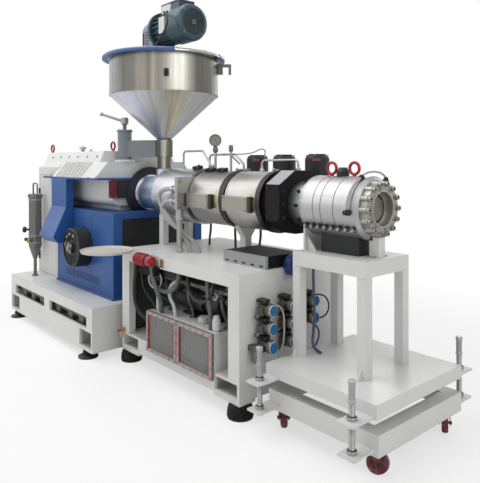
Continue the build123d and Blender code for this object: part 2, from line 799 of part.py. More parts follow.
def water_tank():
    tank = block(tank_x0, tank_x1, -stand_half, tank_back, plinth_top, tank_top)
    windows = []
    width = (tank_x1 - tank_x0 - window_split) / 2
    for x0 in (tank_x0, tank_x1 - width):
        tank -= block(x0 + tank_wall, x0 + width - tank_wall, -stand_half, -stand_half + tank_room,
                      plinth_top + tank_wall, tank_top - tank_wall)
        windows.append(block(x0, x0 + width, -stand_half - window_t, -stand_half, window_z0, tank_top))
    save("water_tank", tank)
    save("tank_windows", *windows)

    pump = turned_x([(pump_x0, 0), (pump_x0, pump_r), (pump_x1 - 150, pump_r), (pump_x1 - 150, pump_r * 0.6),
                     (pump_x1 - 120, pump_r * 0.6), (pump_x1 - 120, pump_r * 0.95), (pump_x1, pump_r * 0.95),
                     (pump_x1, 0)], pump_y, tank_top + pump_r + 20)
    pump += block(pump_x0 + 40, pump_x1 - 40, pump_y - 60, pump_y + 60, tank_top, tank_top + 14)
    for x0 in (pump_x0 + 60, pump_x1 - 100):
        pump += block(x0, x0 + 40, pump_y - 40, pump_y + 40, tank_top, tank_top + pump_r)
    save("vacuum_pump", pump)


def table_things():
    z0, z1 = stand_top_z, stand_top_z + tray_h
    tray = turned_z([(0, z0), (tray_r - tray_h / 2, z0), (tray_r, z1), (tray_r - tray_wall, z1),
                     (tray_r - tray_wall - tray_h / 2, z0 + tray_wall), (0, z0 + tray_wall)], tray_x, tray_y)
    tray += block(tray_x - tray_arm_half, tray_x + tray_arm_half, tray_y, -stand_half, z0 - tray_arm_t, z0)
    save("tool_tray", tray)

    y = -stand_half - coolant_out
    head_x = coolant_x1 - coolant_head
    red = turned_x([(coolant_x0, 0), (coolant_x0, coolant_r * 0.6), (coolant_x0 + 24, coolant_r),
                    (head_x, coolant_r), (head_x, coolant_r * 0.9), (coolant_x1, coolant_r * 0.9),
                    (coolant_x1, 0)], y, coolant_z)
    red += block(coolant_x0 + 60, coolant_x1 - 60, y, -stand_half, coolant_z - 45, coolant_z - 10)
    save("coolant_pump", red)

    units = []
    seat = stand_x1
    for y, rows in zip(unit_y, unit_count):
        for row in range(rows):
            z = unit_z_top - row * unit_pitch
            neck, end = seat + unit_neck, seat + unit_reach
            unit = turned_x([(seat, 0), (seat, unit_r / 2), (neck, unit_r / 2), (neck, unit_r),
                             (end - unit_bevel, unit_r), (end, unit_r - unit_bevel), (end, 0)], y, z)
            units.append(unit)
    save("valve_units", *units)

    box = block(box_x0, box_x1, box_y0, box_y1, stand_top_z, stand_top_z + box_h)
    save("cable_box", box)


# Die with its neck, flange and saddles
def die():
    neck = rod_x(block_x1, die_x0, die_neck_r)
    save("die_neck", neck)

    flange_back = die_x1 + 20
    outline = [(die_x0, 0), (die_x0, die_r)]
    for x in die_groove_x:
        outline += [(x, die_r), (x, die_r - die_groove_d), (x + die_groove_w, die_r - die_groove_d),
                    (x + die_groove_w, die_r)]
    mouth = flange_back - die_mouth_depth
    outline += [(die_x1, die_r), (flange_back, die_end_r), (flange_back, die_mouth_r), (mouth, die_mouth_r),
                (mouth, die_core_r), (flange_back - 24, die_core_r), (flange_back - 4, die_core_r * 0.5),
                (flange_back - 4, 0)]
    save("die_body", turned_x(outline))

    flange = rod_x(flange_back, die_end_x, die_ring_r)
    for i in range(die_bolts):
        turn = 2 * pi / die_bolts * (i + 0.5)
        flange += rod_x(flange_back, die_end_x, die_lug_r, die_bolt_circle * sin(turn),
                        axis_z + die_bolt_circle * cos(turn))
    flange -= rod_x(flange_back, die_end_x, die_bore_r)
    save("die_flange", flange)

    seat = block(die_x0 - 12, die_x0, -118, 118, table_top, axis_z - 40)
    seat -= rod_x(die_x0 - 12, die_x0, die_neck_r)
    for y in (-100, 92):
        seat += along_y([(die_x0, table_top), (die_x0 + 62, table_top), (die_x0, table_top + 78)], y, y + 8)
    post = block(die_end_x - 60, die_end_x - 6, -27, 27, table_top, axis_z)
    post -= rod_x(die_x1, flange_back, die_r) + rod_x(flange_back, die_end_x, die_end_r)
    save("die_saddles", seat, post)

    under = block(die_x0 + 70, die_x1 - 30, -70, 70, table_top, axis_z - 100)
    under -= rod_x(die_x0, die_x1, die_r)
    top = axis_z + die_r
    dome = turned_z([(0, top - 20), (dome_r, top - 20), (dome_r, top + 22), (dome_r * 0.6, top + dome_h),
                     (0, top + dome_h)], (die_eye_x[0] + die_eye_x[1]) / 2, 0)
    dome -= rod_x(die_x0, die_x1, die_r)
    save("die_terminal_boxes", under, dome)


# Trolley: table, lifting platform, chassis, jacks and castors
def jack_places():
    for x in (chassis_x0 + jack_inset - 27, chassis_x1 - jack_inset):
        for side in (-1, 1):
            yield x, side * (chassis_half + jack_out)


def jack_plate(x, side, root, z0):
    y0, y1 = sorted((side * root, side * (root + jack_plate_reach)))
    return block(x - jack_plate_half, x + jack_plate_half, y0, y1, z0, z0 + jack_plate_t)


def trolley():
    under = table_top - table_apron
    top = block(table_x0, table_x1, -table_half, table_half, under, table_top)
    top -= block(table_x0 + table_sheet, table_x1 - table_sheet, -table_half + table_sheet,
                 table_half - table_sheet, under, table_top - table_sheet)
    save("table_top", top)
    legs = []
    for x0 in (table_x0, table_x1 - table_leg):
        leg = block(x0, x0 + table_leg, -table_half, -table_half + table_leg, platform_top, under)
        middle = x0 + table_leg / 2
        leg += along_x([(-table_half, platform_top), (-table_half, platform_top + gusset_h),
                        (-table_half - gusset_w, platform_top)], middle - gusset_t / 2, middle + gusset_t / 2)
        legs += both_sides(leg)
    save("table_legs", *legs)

    platform = block(platform_x0, platform_x1, -platform_half, platform_half, platform_z0, platform_top)
    platform -= block(platform_x0 + platform_t, platform_x1 - platform_t, -platform_half + platform_t,
                      platform_half - platform_t, platform_z0, platform_top - platform_t)
    chassis = block(chassis_x0, chassis_x1, -chassis_half, chassis_half, chassis_z0, chassis_z1)
    chassis -= block(chassis_x0 + chassis_web, chassis_x1 - chassis_web, -chassis_half + chassis_web,
                     chassis_half - chassis_web, chassis_z0, chassis_z1 - chassis_web)
    chassis -= block(chassis_x0 + chassis_flange, chassis_x1 - chassis_flange, -chassis_half + chassis_flange,
                     chassis_half - chassis_flange, chassis_z0, chassis_z1)
    for x0 in (chassis_x0 + chassis_web, chassis_x1 - chassis_web - castor_mount):
        for y0 in (-chassis_half + chassis_web, chassis_half - chassis_web - castor_mount):
            chassis += block(x0, x0 + castor_mount, y0, y0 + castor_mount,
                             castor_plate_z, castor_plate_z + chassis_web)
    screws = []
    low_top = jack_low_z + jack_plate_t
    high_top = platform_z0 + jack_plate_t
    nut, rod = jack_nut_r, jack_r
    for x, y in jack_places():
        side = 1 if y > 0 else -1
        platform += jack_plate(x, side, platform_half, platform_z0)
        platform -= rod_z(platform_z0, high_top, rod + fit_gap, x, y)
        chassis += jack_plate(x, side, chassis_half, jack_low_z)
        chassis -= rod_z(jack_low_z, low_top, rod + fit_gap, x, y)
        screws.append(turned_z([
            (0, jack_low_z - jack_nut_h), (nut, jack_low_z - jack_nut_h), (nut, jack_low_z),
            (rod, jack_low_z),
            (rod, low_top), (nut, low_top), (nut, low_top + jack_nut_h), (rod, low_top + jack_nut_h),
            (rod, platform_z0 - jack_nut_h), (nut, platform_z0 - jack_nut_h), (nut, platform_z0),
            (rod, platform_z0), (rod, high_top), (nut, high_top), (nut, high_top + jack_nut_h),
            (rod, high_top + jack_nut_h), (rod, jack_sleeve_z0), (jack_sleeve_r, jack_sleeve_z0),
            (jack_sleeve_r, jack_top), (0, jack_top)], x, y))
    save("trolley_platform", platform)
    save("trolley_chassis", chassis)
    save("jack_screws", *screws)


def castors():
    places = {"near_front": (chassis_x1 - castor_inset_x, -chassis_half + castor_inset_y),
              "near_rear": (chassis_x0 + castor_inset_x, -chassis_half + castor_inset_y),
              "far_front": (chassis_x1 - castor_inset_x, chassis_half - castor_inset_y),
              "far_rear": (chassis_x0 + castor_inset_x, chassis_half - castor_inset_y)}
    for name, (x, y) in places.items():
        place = Pos(x, y, 0) * Rot(0, 0, castor_headings[name])
        inner = castor_w / 2 + castor_side_gap
        outer = inner + castor_cheek_t
        fork = rod_z(castor_crown_z0, castor_plate_z, castor_crown_r, 0, 0)
        cheek = along_y([(-24, castor_crown_z0 + 4), (-24, castor_crown_z0 - 6),
                         (castor_trail - castor_cheek_r, castor_r - castor_cheek_r),
                         (castor_trail + castor_cheek_r, castor_r - castor_cheek_r),
                         (24, castor_crown_z0 - 6), (24, castor_crown_z0 + 4)], inner, outer)
        for side in both_sides(cheek):
            fork += side
        fork += rod_y(-outer, outer, castor_axle_r, castor_trail, castor_r)
        save(f"castor_fork_{name}", place * fork)
        wheel = rod_y(-castor_w / 2, castor_w / 2, castor_r, castor_trail, castor_r)
        wheel -= rod_y(-castor_w / 2, castor_w / 2, castor_axle_r + run_gap, castor_trail, castor_r)
        save(f"castor_wheel_{name}", place * wheel)


drive_base()
levelling_feet()
drive_cabinet()
rear_cover()
gearbox()
lifting_eyes()
bell_housing()
oil_filter()
barrel()
blowers()
vent_pipes()
barrel_supports()
flexible_lines()
hopper()
crane()
stand()
water_tank()
table_things()
die()
trolley()
castors()
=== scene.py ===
import json
import math
import bmesh
import bpy
import numpy as np
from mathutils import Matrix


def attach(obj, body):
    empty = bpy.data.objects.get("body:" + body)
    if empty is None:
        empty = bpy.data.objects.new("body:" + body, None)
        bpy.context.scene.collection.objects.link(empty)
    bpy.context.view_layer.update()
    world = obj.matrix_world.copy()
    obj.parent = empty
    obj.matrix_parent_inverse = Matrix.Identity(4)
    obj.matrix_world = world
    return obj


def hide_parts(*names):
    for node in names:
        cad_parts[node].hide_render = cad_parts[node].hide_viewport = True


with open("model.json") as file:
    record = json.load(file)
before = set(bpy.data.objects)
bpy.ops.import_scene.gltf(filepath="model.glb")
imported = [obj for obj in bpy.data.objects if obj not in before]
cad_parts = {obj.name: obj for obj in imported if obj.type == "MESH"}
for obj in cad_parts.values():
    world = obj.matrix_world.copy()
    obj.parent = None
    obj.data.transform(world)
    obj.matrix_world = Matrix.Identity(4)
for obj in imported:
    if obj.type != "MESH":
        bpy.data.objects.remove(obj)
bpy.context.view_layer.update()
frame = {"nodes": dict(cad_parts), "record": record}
cadNodes = frame["nodes"]

# all places below are in millimetres from the drive end, the barrel axis and the floor
line = {"midX": 1839.5, "midY": -55.5, "axisZ": 1110.0}
axisZ = line["axisZ"]
upWay, nearWay, endWay = (0, 0, 1), (0, -1, 0), (1, 0, 0)  # to the sky, the near side and the die


# shapes are (points, [faces of equal corner count, ...]) in numpy arrays

def loft(rings, closed=False):
    # k rings of n points skinned with quads; open ends are closed by one flat face each
    rings = np.asarray(rings, float)
    k, n = rings.shape[:2]
    ids = np.arange(k * n).reshape(k, n)
    low = ids if closed else ids[:-1]
    high = np.roll(ids, -1, 0) if closed else ids[1:]
    quads = np.stack([low, np.roll(low, -1, 1), np.roll(high, -1, 1), high], -1).reshape(-1, 4)
    faces = [quads]
    if not closed:
        faces.append(np.stack([ids[0][::-1], ids[-1]]))
    return rings.reshape(-1, 3), faces


def lathe(profile, steps=32, closed=False):
    # radius and height of a profile carried round z: (r cos t, r sin t, h)
    r, h = np.asarray(profile, float).T[:, :, None]
    t = np.linspace(0, 2 * np.pi, steps, endpoint=False)
    return loft(np.stack([r * np.cos(t), r * np.sin(t), h + 0 * t], -1), closed)


def arcBar(profile, first, last, steps=24):
    # a closed profile of radius and height carried round z through part of a turn
    r, h = np.asarray(profile, float).T
    t = np.linspace(first, last, steps)[:, None]
    return loft(np.stack([r * np.cos(t), r * np.sin(t), h + 0 * t], -1))


def rectRing(w, d, corner, inset=0.0, z=0.0, steps=4):
    # corner centres plus a quarter circle of radius corner - inset at each
    q = np.arange(4)[:, None]
    t = (q * np.pi / 2 + np.linspace(0, np.pi / 2, steps)[None]).ravel()
    sx = np.repeat(np.array([1, -1, -1, 1.0]), steps)
    sy = np.repeat(np.array([1, 1, -1, -1.0]), steps)
    x = sx * (w / 2 - corner) + (corner - inset) * np.cos(t)
    y = sy * (d / 2 - corner) + (corner - inset) * np.sin(t)
    return np.stack([x, y, np.full_like(x, z)], -1)


def slab(w, d, h, corner=3.0, bevel=1.0, steps=4):
    # rounded rectangle carried up z and drawn in by the bevel at both ends
    corner = max(corner, bevel * 1.05)
    return loft([rectRing(w, d, corner, i, z, steps)
                 for i, z in ((bevel, 0), (0, bevel), (0, h - bevel), (bevel, h))])


def border(w, d, rim, h, corner=6.0, steps=4):
    # a rectangular frame: outer and inner outline, bottom and top, joined into one closed loop
    inner = max(corner - rim, 1.0)
    return loft([rectRing(w, d, corner, 0, 0, steps), rectRing(w, d, corner, 0, h, steps),
                 rectRing(w - 2 * rim, d - 2 * rim, inner, 0, h, steps),
                 rectRing(w - 2 * rim, d - 2 * rim, inner, 0, 0, steps)], closed=True)


def pipe(path, radius, steps=10):
    # a circle carried along a path, square to it: c + r (cos t n + sin t b)
    path = np.asarray(path, float)
    tangent = np.gradient(path, axis=0)
    tangent /= np.linalg.norm(tangent, axis=1, keepdims=True)
    side = np.linalg.svd(path - path.mean(0))[2][2]
    side = side - tangent * (tangent @ side)[:, None]
    side /= np.linalg.norm(side, axis=1, keepdims=True)
    other = np.cross(tangent, side)
    t = np.linspace(0, 2 * np.pi, steps, endpoint=False)[None, :, None]
    return loft(path[:, None] + radius * (np.cos(t) * side[:, None] + np.sin(t) * other[:, None]))


def smoothLine(p, steps):
    # quadratic arcs between the middles of the runs: (1-t)^2 a + 2t(1-t) b + t^2 c
    mid = (p[1:] + p[:-1]) / 2
    mid[0], mid[-1] = p[0], p[-1]
    t = np.linspace(0, 1, steps)[None, :, None]
    arcs = (1 - t) ** 2 * mid[:-1, None] + 2 * t * (1 - t) * p[1:-1, None] + t ** 2 * mid[1:, None]
    return arcs.reshape(-1, 3)


def bent(points, steps=9):
    # rigid pipe route, with points that fall together dropped
    flat = smoothLine(np.asarray(points, float), steps)
    keep = np.r_[True, np.linalg.norm(np.diff(flat, axis=0), axis=1) > 0.2]
    return flat[keep]


def turned(shape, toward, at=(0, 0, 0), spin=0.0):
    # z of the shape is laid along toward, then moved to at
    z = np.asarray(toward, float) / np.linalg.norm(toward)
    ref = np.array([0, 0, 1.0]) if abs(z[2]) < 0.9 else np.array([1.0, 0, 0])
    x = np.cross(ref, z)
    x /= np.linalg.norm(x)
    y = np.cross(z, x)
    c, s = math.cos(spin), math.sin(spin)
    basis = np.stack([c * x + s * y, c * y - s * x, z])
    return shape[0] @ basis + np.asarray(at, float), shape[1]


def spun(profile, steps, toward, at, closed=False):
    return turned(lathe(profile, steps, closed), toward, at)


def plate(sizes, toward, at, spin=0.0):
    return turned(slab(*sizes), toward, at, spin)


def copies(shape, places):
    # the same points at every place, faces numbered on from copy to copy
    places = np.asarray(places, float).reshape(-1, 3)
    n, m = len(shape[0]), len(places)
    points = (places[:, None] + shape[0][None]).reshape(-1, 3)
    step = (np.arange(m) * n)[:, None, None]
    return points, [(f[None] + step).reshape(-1, f.shape[1]) for f in shape[1]]


def rows(shape, toward, places):
    return copies(turned(shape, toward), places)


def joined(*shapes):
    start = np.cumsum([0] + [len(s[0]) for s in shapes])
    return np.concatenate([s[0] for s in shapes]), [f + b for s, b in zip(shapes, start) for f in s[1]]


def ringPlaces(count, radius, toward, at, first=0.0):
    # places on a circle square to toward
    t = first + np.arange(count) * 2 * np.pi / count
    flat = np.stack([radius * np.cos(t), radius * np.sin(t), 0 * t], -1)
    return turned((flat, []), toward, at)[0]


def mirrored(shape):
    return shape[0] * np.array([1, -1, 1.0]), shape[1]


def capScrew(radius, height):
    # socket head: a short turned head with a round chamfer and a hollow
    return lathe([(radius, 0), (radius, height * 0.8), (radius * 0.85, height), (radius * 0.5, height),
                  (radius * 0.5, height * 0.45)], 12)


def hexHead(radius, height):
    # six sided head on a thin washer
    head = lathe([(radius, 0), (radius, height * 0.85), (radius * 0.86, height)], 6)
    return joined(lathe([(radius * 1.25, 0), (radius * 1.25, height * 0.18)], 14), head)


def inFrame(points):
    # millimetres of this script to metres of the frame
    return (np.asarray(points, float) - np.array([line["midX"], line["midY"], 0.0])) / 1000.0


def place(name, data, body, replaces):
    obj = bpy.data.objects.new(name, data)
    bpy.context.scene.collection.objects.link(obj)
    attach(obj, body)
    if replaces:
        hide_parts(*replaces)
    return obj


def piece(name, shape, material, body="machine", smooth=35.0, replaces=()):
    points, faces = joined(*shape) if isinstance(shape, list) else shape
    mesh = bpy.data.meshes.new(name)
    spots = inFrame(points)
    corners = np.concatenate([f.ravel() for f in faces]).astype(np.int32)
    totals = np.concatenate([np.full(len(f), f.shape[1]) for f in faces])
    starts = np.concatenate([[0], np.cumsum(totals)[:-1]]).astype(np.int32)
    mesh.vertices.add(len(spots))
    mesh.vertices.foreach_set("co", spots.astype(np.float32).ravel())
    mesh.loops.add(len(corners))
    mesh.loops.foreach_set("vertex_index", corners)
    mesh.polygons.add(len(starts))
    mesh.polygons.foreach_set("loop_start", starts)
    mesh.update(calc_edges=True)
    mesh.validate()
    work = bmesh.new()
    work.from_mesh(mesh)
    bmesh.ops.recalc_face_normals(work, faces=work.faces)
    work.to_mesh(mesh)
    work.free()
    mesh.polygons.foreach_set("use_smooth", np.ones(len(mesh.polygons), bool))
    mesh.set_sharp_from_angle(angle=math.radians(smooth))
    mesh.materials.append(material)
    place(name, mesh, body, replaces)


def splineLength(p):
    # the smooth line summed over short chords
    return float(np.linalg.norm(np.diff(smoothLine(p, 40), axis=0), axis=1).sum())


def hose(name, points, radius, material, body="machine", replaces=()):
    # free hose or lead: one smooth open spline through its route's control points
    data = bpy.data.curves.new(name, "CURVE")
    data.dimensions = "3D"
    data.bevel_depth = radius / 1000.0
    data.bevel_resolution = 3
    data.resolution_u = 8
    data.use_fill_caps = True
    p = inFrame(points)
    spline = data.splines.new("NURBS")
    spline.points.add(len(p) - 1)
    spline.points.foreach_set("co", np.c_[p, np.ones(len(p))].astype(np.float32).ravel())
    spline.order_u = 3
    spline.use_endpoint_u = True
    data.materials.append(material)
    obj = place(name, data, body, replaces)
    splineLength(p)


# shader helpers

def add(tree, kind, links=None, **settings):
    node = tree.nodes.new("ShaderNode" + kind)
    for key, value in settings.items():
        setattr(node, key, value)
    for key, value in (links or {}).items():
        socket = node.inputs[key]
        if isinstance(value, bpy.types.NodeSocket):
            tree.links.new(value, socket)
        else:
            socket.default_value = value
    return node


def nodeGroup(name, inputs, outputs):
    group = bpy.data.node_groups.new(name, "ShaderNodeTree")
    for label, kind, value in inputs:
        socket = group.interface.new_socket(name=label, in_out="INPUT", socket_type="NodeSocket" + kind)
        socket.default_value = value
    for label, kind in outputs:
        group.interface.new_socket(name=label, in_out="OUTPUT", socket_type="NodeSocket" + kind)
    return group, group.nodes.new("NodeGroupInput"), group.nodes.new("NodeGroupOutput")


def mixColour(tree, factor, a, b, blend="MIX"):
    node = add(tree, "Mix", {0: factor, 6: a, 7: b}, data_type="RGBA", blend_type=blend)
    return node.outputs[2]


def remap(tree, value, fromLow, fromHigh, toLow=0.0, toHigh=1.0):
    return add(tree, "MapRange", {"Value": value, "From Min": fromLow, "From Max": fromHigh,
                                  "To Min": toLow, "To Max": toHigh}).outputs[0]


def times(tree, a, b):
    return add(tree, "Math", {0: a, 1: b}, operation="MULTIPLY").outputs[0]


def makeSoftEdges():
    # rounded normal near edges, and a broken mask where that normal leaves the face
    group, source, sink = nodeGroup(
        "soft edges", [("Radius", "Float", 0.002), ("Break Up", "Float", 45.0)],
        [("Normal", "Vector"), ("Edge", "Float")])
    bevel = add(group, "Bevel", {"Radius": source.outputs["Radius"]}, samples=4)
    face = add(group, "NewGeometry")
    dot = add(group, "VectorMath", {0: bevel.outputs[0], 1: face.outputs["Normal"]}, operation="DOT_PRODUCT")
    edge = remap(group, dot.outputs["Value"], 0.99, 0.8)
    coords = add(group, "TexCoord")
    noise = add(group, "TexNoise", {"Vector": coords.outputs["Object"], "Scale": source.outputs["Break Up"],
                                    "Detail": 4.0})
    broken = times(group, edge, remap(group, noise.outputs["Fac"], 0.48, 0.66))
    group.links.new(bevel.outputs[0], sink.inputs["Normal"])
    group.links.new(broken, sink.inputs["Edge"])
    return group


def makePaintFilm():
    # slow mottling, settled dust on upward faces, grime towards the floor, fine skin
    group, source, sink = nodeGroup(
        "paint film",
        [("Colour", "Color", (1, 1, 1, 1)), ("Mottle", "Float", 0.06), ("Dust", "Float", 0.12),
         ("Skin Scale", "Float", 420.0), ("Roughness", "Float", 0.35)],
        [("Colour", "Color"), ("Roughness", "Float"), ("Height", "Float")])
    coords = add(group, "TexCoord")
    slow = add(group, "TexNoise", {"Vector": coords.outputs["Object"], "Scale": 3.2, "Detail": 5.0,
                                   "Roughness": 0.6})
    fine = add(group, "TexNoise", {"Vector": coords.outputs["Object"],
                                   "Scale": source.outputs["Skin Scale"], "Detail": 2.0})
    dark = mixColour(group, 1.0, source.outputs["Colour"], (0.80, 0.78, 0.74, 1), "MULTIPLY")
    patch = times(group, remap(group, slow.outputs["Fac"], 0.42, 0.72), source.outputs["Mottle"])
    toned = mixColour(group, patch, source.outputs["Colour"], dark)
    face = add(group, "NewGeometry")
    up = add(group, "SeparateXYZ", {0: face.outputs["Normal"]}).outputs["Z"]
    grit = add(group, "TexNoise", {"Vector": coords.outputs["Object"], "Scale": 38.0, "Detail": 6.0})
    settled = times(group, remap(group, up, 0.5, 1.0), remap(group, grit.outputs["Fac"], 0.35, 0.75))
    height = add(group, "SeparateXYZ", {0: coords.outputs["Object"]}).outputs["Z"]
    low = times(group, remap(group, height, 0.36, 0.03), remap(group, grit.outputs["Fac"], 0.45, 0.8))
    film = add(group, "Math", {0: settled, 1: low}, operation="MAXIMUM").outputs[0]
    dusty = mixColour(group, times(group, film, source.outputs["Dust"]), toned, (0.45, 0.43, 0.39, 1))
    rough = add(group, "Math", {0: source.outputs["Roughness"],
                                1: times(group, remap(group, slow.outputs["Fac"], 0.3, 0.8), 0.12)},
                operation="ADD").outputs[0]
    group.links.new(dusty, sink.inputs["Colour"])
    group.links.new(rough, sink.inputs["Roughness"])
    group.links.new(fine.outputs["Fac"], sink.inputs["Height"])
    return group


def makeGrain():
    # streaks: noise pulled out along one direction, for brushed, drawn or turned metal
    group, source, sink = nodeGroup(
        "metal grain",
        [("Colour", "Color", (0.6, 0.6, 0.6, 1)), ("Stretch", "Vector", (1.0, 1.0, 0.03)),
         ("Scale", "Float", 160.0), ("Contrast", "Float", 0.25), ("Roughness", "Float", 0.3)],
        [("Colour", "Color"), ("Roughness", "Float"), ("Height", "Float")])
    coords = add(group, "TexCoord")
    pulled = add(group, "VectorMath", {0: coords.outputs["Object"], 1: source.outputs["Stretch"]},
                 operation="MULTIPLY")
    streak = add(group, "TexNoise", {"Vector": pulled.outputs[0], "Scale": source.outputs["Scale"],
                                     "Detail": 4.0, "Roughness": 0.7})
    cloud = add(group, "TexNoise", {"Vector": coords.outputs["Object"], "Scale": 5.0, "Detail": 4.0})
    both = add(group, "Math", {0: streak.outputs["Fac"],
                               1: times(group, remap(group, cloud.outputs["Fac"], 0.3, 0.7), 0.35)},
               operation="ADD").outputs[0]
    shade = times(group, remap(group, both, 0.4, 1.0), source.outputs["Contrast"])
    darker = mixColour(group, 1.0, source.outputs["Colour"], (0.42, 0.42, 0.43, 1), "MULTIPLY")
    colour = mixColour(group, shade, source.outputs["Colour"], darker)
    lift = times(group, remap(group, both, 0.3, 1.0), 0.16)
    rough = add(group, "Math", {0: source.outputs["Roughness"], 1: lift}, operation="ADD").outputs[0]
    group.links.new(colour, sink.inputs["Colour"])
    group.links.new(rough, sink.inputs["Roughness"])
    group.links.new(streak.outputs["Fac"], sink.inputs["Height"])
    return group


softEdges = makeSoftEdges()
paintFilm = makePaintFilm()
metalGrain = makeGrain()


def useGroup(tree, group, values):
    node = tree.nodes.new("ShaderNodeGroup")
    node.node_tree = group
    for key, value in values.items():
        node.inputs[key].default_value = value
    return node


def blankMaterial(name):
    material = bpy.data.materials.new(name)
    material.use_nodes = True
    tree = material.node_tree
    tree.nodes.clear()
    shader = add(tree, "BsdfPrincipled")
    output = add(tree, "OutputMaterial")
    tree.links.new(shader.outputs[0], output.inputs["Surface"])
    return material, tree, shader


def finishNormal(tree, shader, film, edges, strength, distance):
    bump = add(tree, "Bump", {"Strength": strength, "Distance": distance, "Height": film.outputs["Height"],
                              "Normal": edges.outputs["Normal"]})
    tree.links.new(bump.outputs[0], shader.inputs["Normal"])


def paint(name, colour, roughness=0.34, mottle=0.5, dust=0.12, wear=(0.55, 0.55, 0.54), wearShare=0.35,
          coat=0.1, edge=0.003, skin=420.0, bump=0.05, shine=0.35):
    # sprayed or powder coat: film colour, chipped edges, rounded corners
    material, tree, shader = blankMaterial(name)
    film = useGroup(tree, paintFilm, {"Colour": (*colour, 1), "Mottle": mottle, "Dust": dust,
                                      "Skin Scale": skin, "Roughness": roughness})
    edges = useGroup(tree, softEdges, {"Radius": edge, "Break Up": 45.0})
    chips = times(tree, edges.outputs["Edge"], wearShare)
    tree.links.new(mixColour(tree, chips, film.outputs["Colour"], (*wear, 1)), shader.inputs["Base Color"])
    tree.links.new(film.outputs["Roughness"], shader.inputs["Roughness"])
    shader.inputs["Specular IOR Level"].default_value = shine
    shader.inputs["Coat Weight"].default_value = coat
    shader.inputs["Coat Roughness"].default_value = 0.2
    finishNormal(tree, shader, film, edges, bump, 0.001)
    return material


def metal(name, colour, roughness=0.28, stretch=(1, 1, 0.03), scale=160.0, contrast=0.35, edge=0.0015,
          bright=(0.8, 0.8, 0.8), bump=0.04, metallic=1.0):
    # bare metal: drawn grain, brighter rubbed edges
    material, tree, shader = blankMaterial(name)
    grain = useGroup(tree, metalGrain, {"Colour": (*colour, 1), "Stretch": stretch, "Scale": scale,
                                        "Contrast": contrast, "Roughness": roughness})
    edges = useGroup(tree, softEdges, {"Radius": edge, "Break Up": 70.0})
    rubbed = times(tree, edges.outputs["Edge"], 0.5)
    tree.links.new(mixColour(tree, rubbed, grain.outputs["Colour"], (*bright, 1)),
                   shader.inputs["Base Color"])
    tree.links.new(grain.outputs["Roughness"], shader.inputs["Roughness"])
    shader.inputs["Metallic"].default_value = metallic
    finishNormal(tree, shader, grain, edges, bump, 0.0006)
    return material


def windowSheet(name):
    # dulled clear sheet with wiped smears
    material, tree, shader = blankMaterial(name)
    film = useGroup(tree, paintFilm, {"Colour": (0.40, 0.41, 0.40, 1), "Mottle": 0.4, "Dust": 0.0,
                                      "Skin Scale": 60.0, "Roughness": 0.22})
    tree.links.new(film.outputs["Colour"], shader.inputs["Base Color"])
    tree.links.new(film.outputs["Roughness"], shader.inputs["Roughness"])
    shader.inputs["Transmission Weight"].default_value = 0.55
    shader.inputs["IOR"].default_value = 1.2
    return material


def reflectionBandedSheet(name, axis, stops, roughness=0.26):
    # bright sheet rolled round an upright axis, with painted reflections: brightness by the angle round that
    # axis lays painted highlight and reflection bands, fine upright streaks
    material, tree, shader = blankMaterial(name)
    coords = add(tree, "TexCoord")
    x = (axis[0] - line["midX"]) / 1000.0
    y = (axis[1] - line["midY"]) / 1000.0
    moved = add(tree, "VectorMath", {0: coords.outputs["Object"], 1: (x, y, 0.0)}, operation="SUBTRACT")
    flat = add(tree, "SeparateXYZ", {0: moved.outputs[0]})
    angle = add(tree, "Math", {0: flat.outputs["Y"], 1: flat.outputs["X"]}, operation="ARCTAN2").outputs[0]
    narrow = add(tree, "TexNoise", {"W": angle, "Scale": 11.0, "Detail": 3.0}, noise_dimensions="1D")
    ramp = add(tree, "ValToRGB", {0: remap(tree, angle, -math.pi, math.pi)})
    points = ramp.color_ramp.elements
    while len(points) < len(stops):
        points.new(0.5)
    for point, (degrees, red, green, blue) in zip(points, stops):
        point.position = (degrees + 180.0) / 360.0
        point.color = (red, green, blue, 1)
    grain = useGroup(tree, metalGrain, {"Stretch": (1, 1, 0.02), "Scale": 150.0, "Contrast": 0.25,
                                        "Roughness": roughness})
    tree.links.new(ramp.outputs[0], grain.inputs["Colour"])
    edges = useGroup(tree, softEdges, {"Radius": 0.0015, "Break Up": 70.0})
    streak = times(tree, remap(tree, narrow.outputs["Fac"], 0.42, 0.72), 0.35)
    deep = mixColour(tree, 1.0, grain.outputs["Colour"], (0.45, 0.44, 0.42, 1), "MULTIPLY")
    tree.links.new(mixColour(tree, streak, grain.outputs["Colour"], deep), shader.inputs["Base Color"])
    tree.links.new(grain.outputs["Roughness"], shader.inputs["Roughness"])
    shader.inputs["Metallic"].default_value = 1.0
    finishNormal(tree, shader, grain, edges, 0.03, 0.0006)
    return material


# degrees round the hopper from the barrel side, then the sheet's colour there: painted reflection and
# highlight bands
drumReflectionStops = ((-180, 0.45, 0.45, 0.44), (-122, 0.62, 0.63, 0.63), (-100, 0.28, 0.29, 0.29),
             (-78, 0.13, 0.13, 0.12), (-56, 0.34, 0.32, 0.28), (-47, 0.29, 0.27, 0.23),
             (-44, 0.52, 0.50, 0.45), (-40, 0.36, 0.34, 0.29), (-14, 0.62, 0.615, 0.56),
             (0, 0.20, 0.195, 0.18), (20, 0.15, 0.148, 0.14), (36, 0.08, 0.08, 0.078),
             (57, 0.26, 0.26, 0.25), (120, 0.36, 0.36, 0.35), (180, 0.45, 0.45, 0.44))
neckReflectionStops = ((-180, 0.3, 0.3, 0.28), (-110, 0.10, 0.10, 0.08), (-62, 0.12, 0.115, 0.09),
             (-42, 0.55, 0.54, 0.50), (-30, 0.62, 0.61, 0.56), (-16, 0.22, 0.21, 0.17),
             (30, 0.12, 0.115, 0.09), (180, 0.3, 0.3, 0.28))
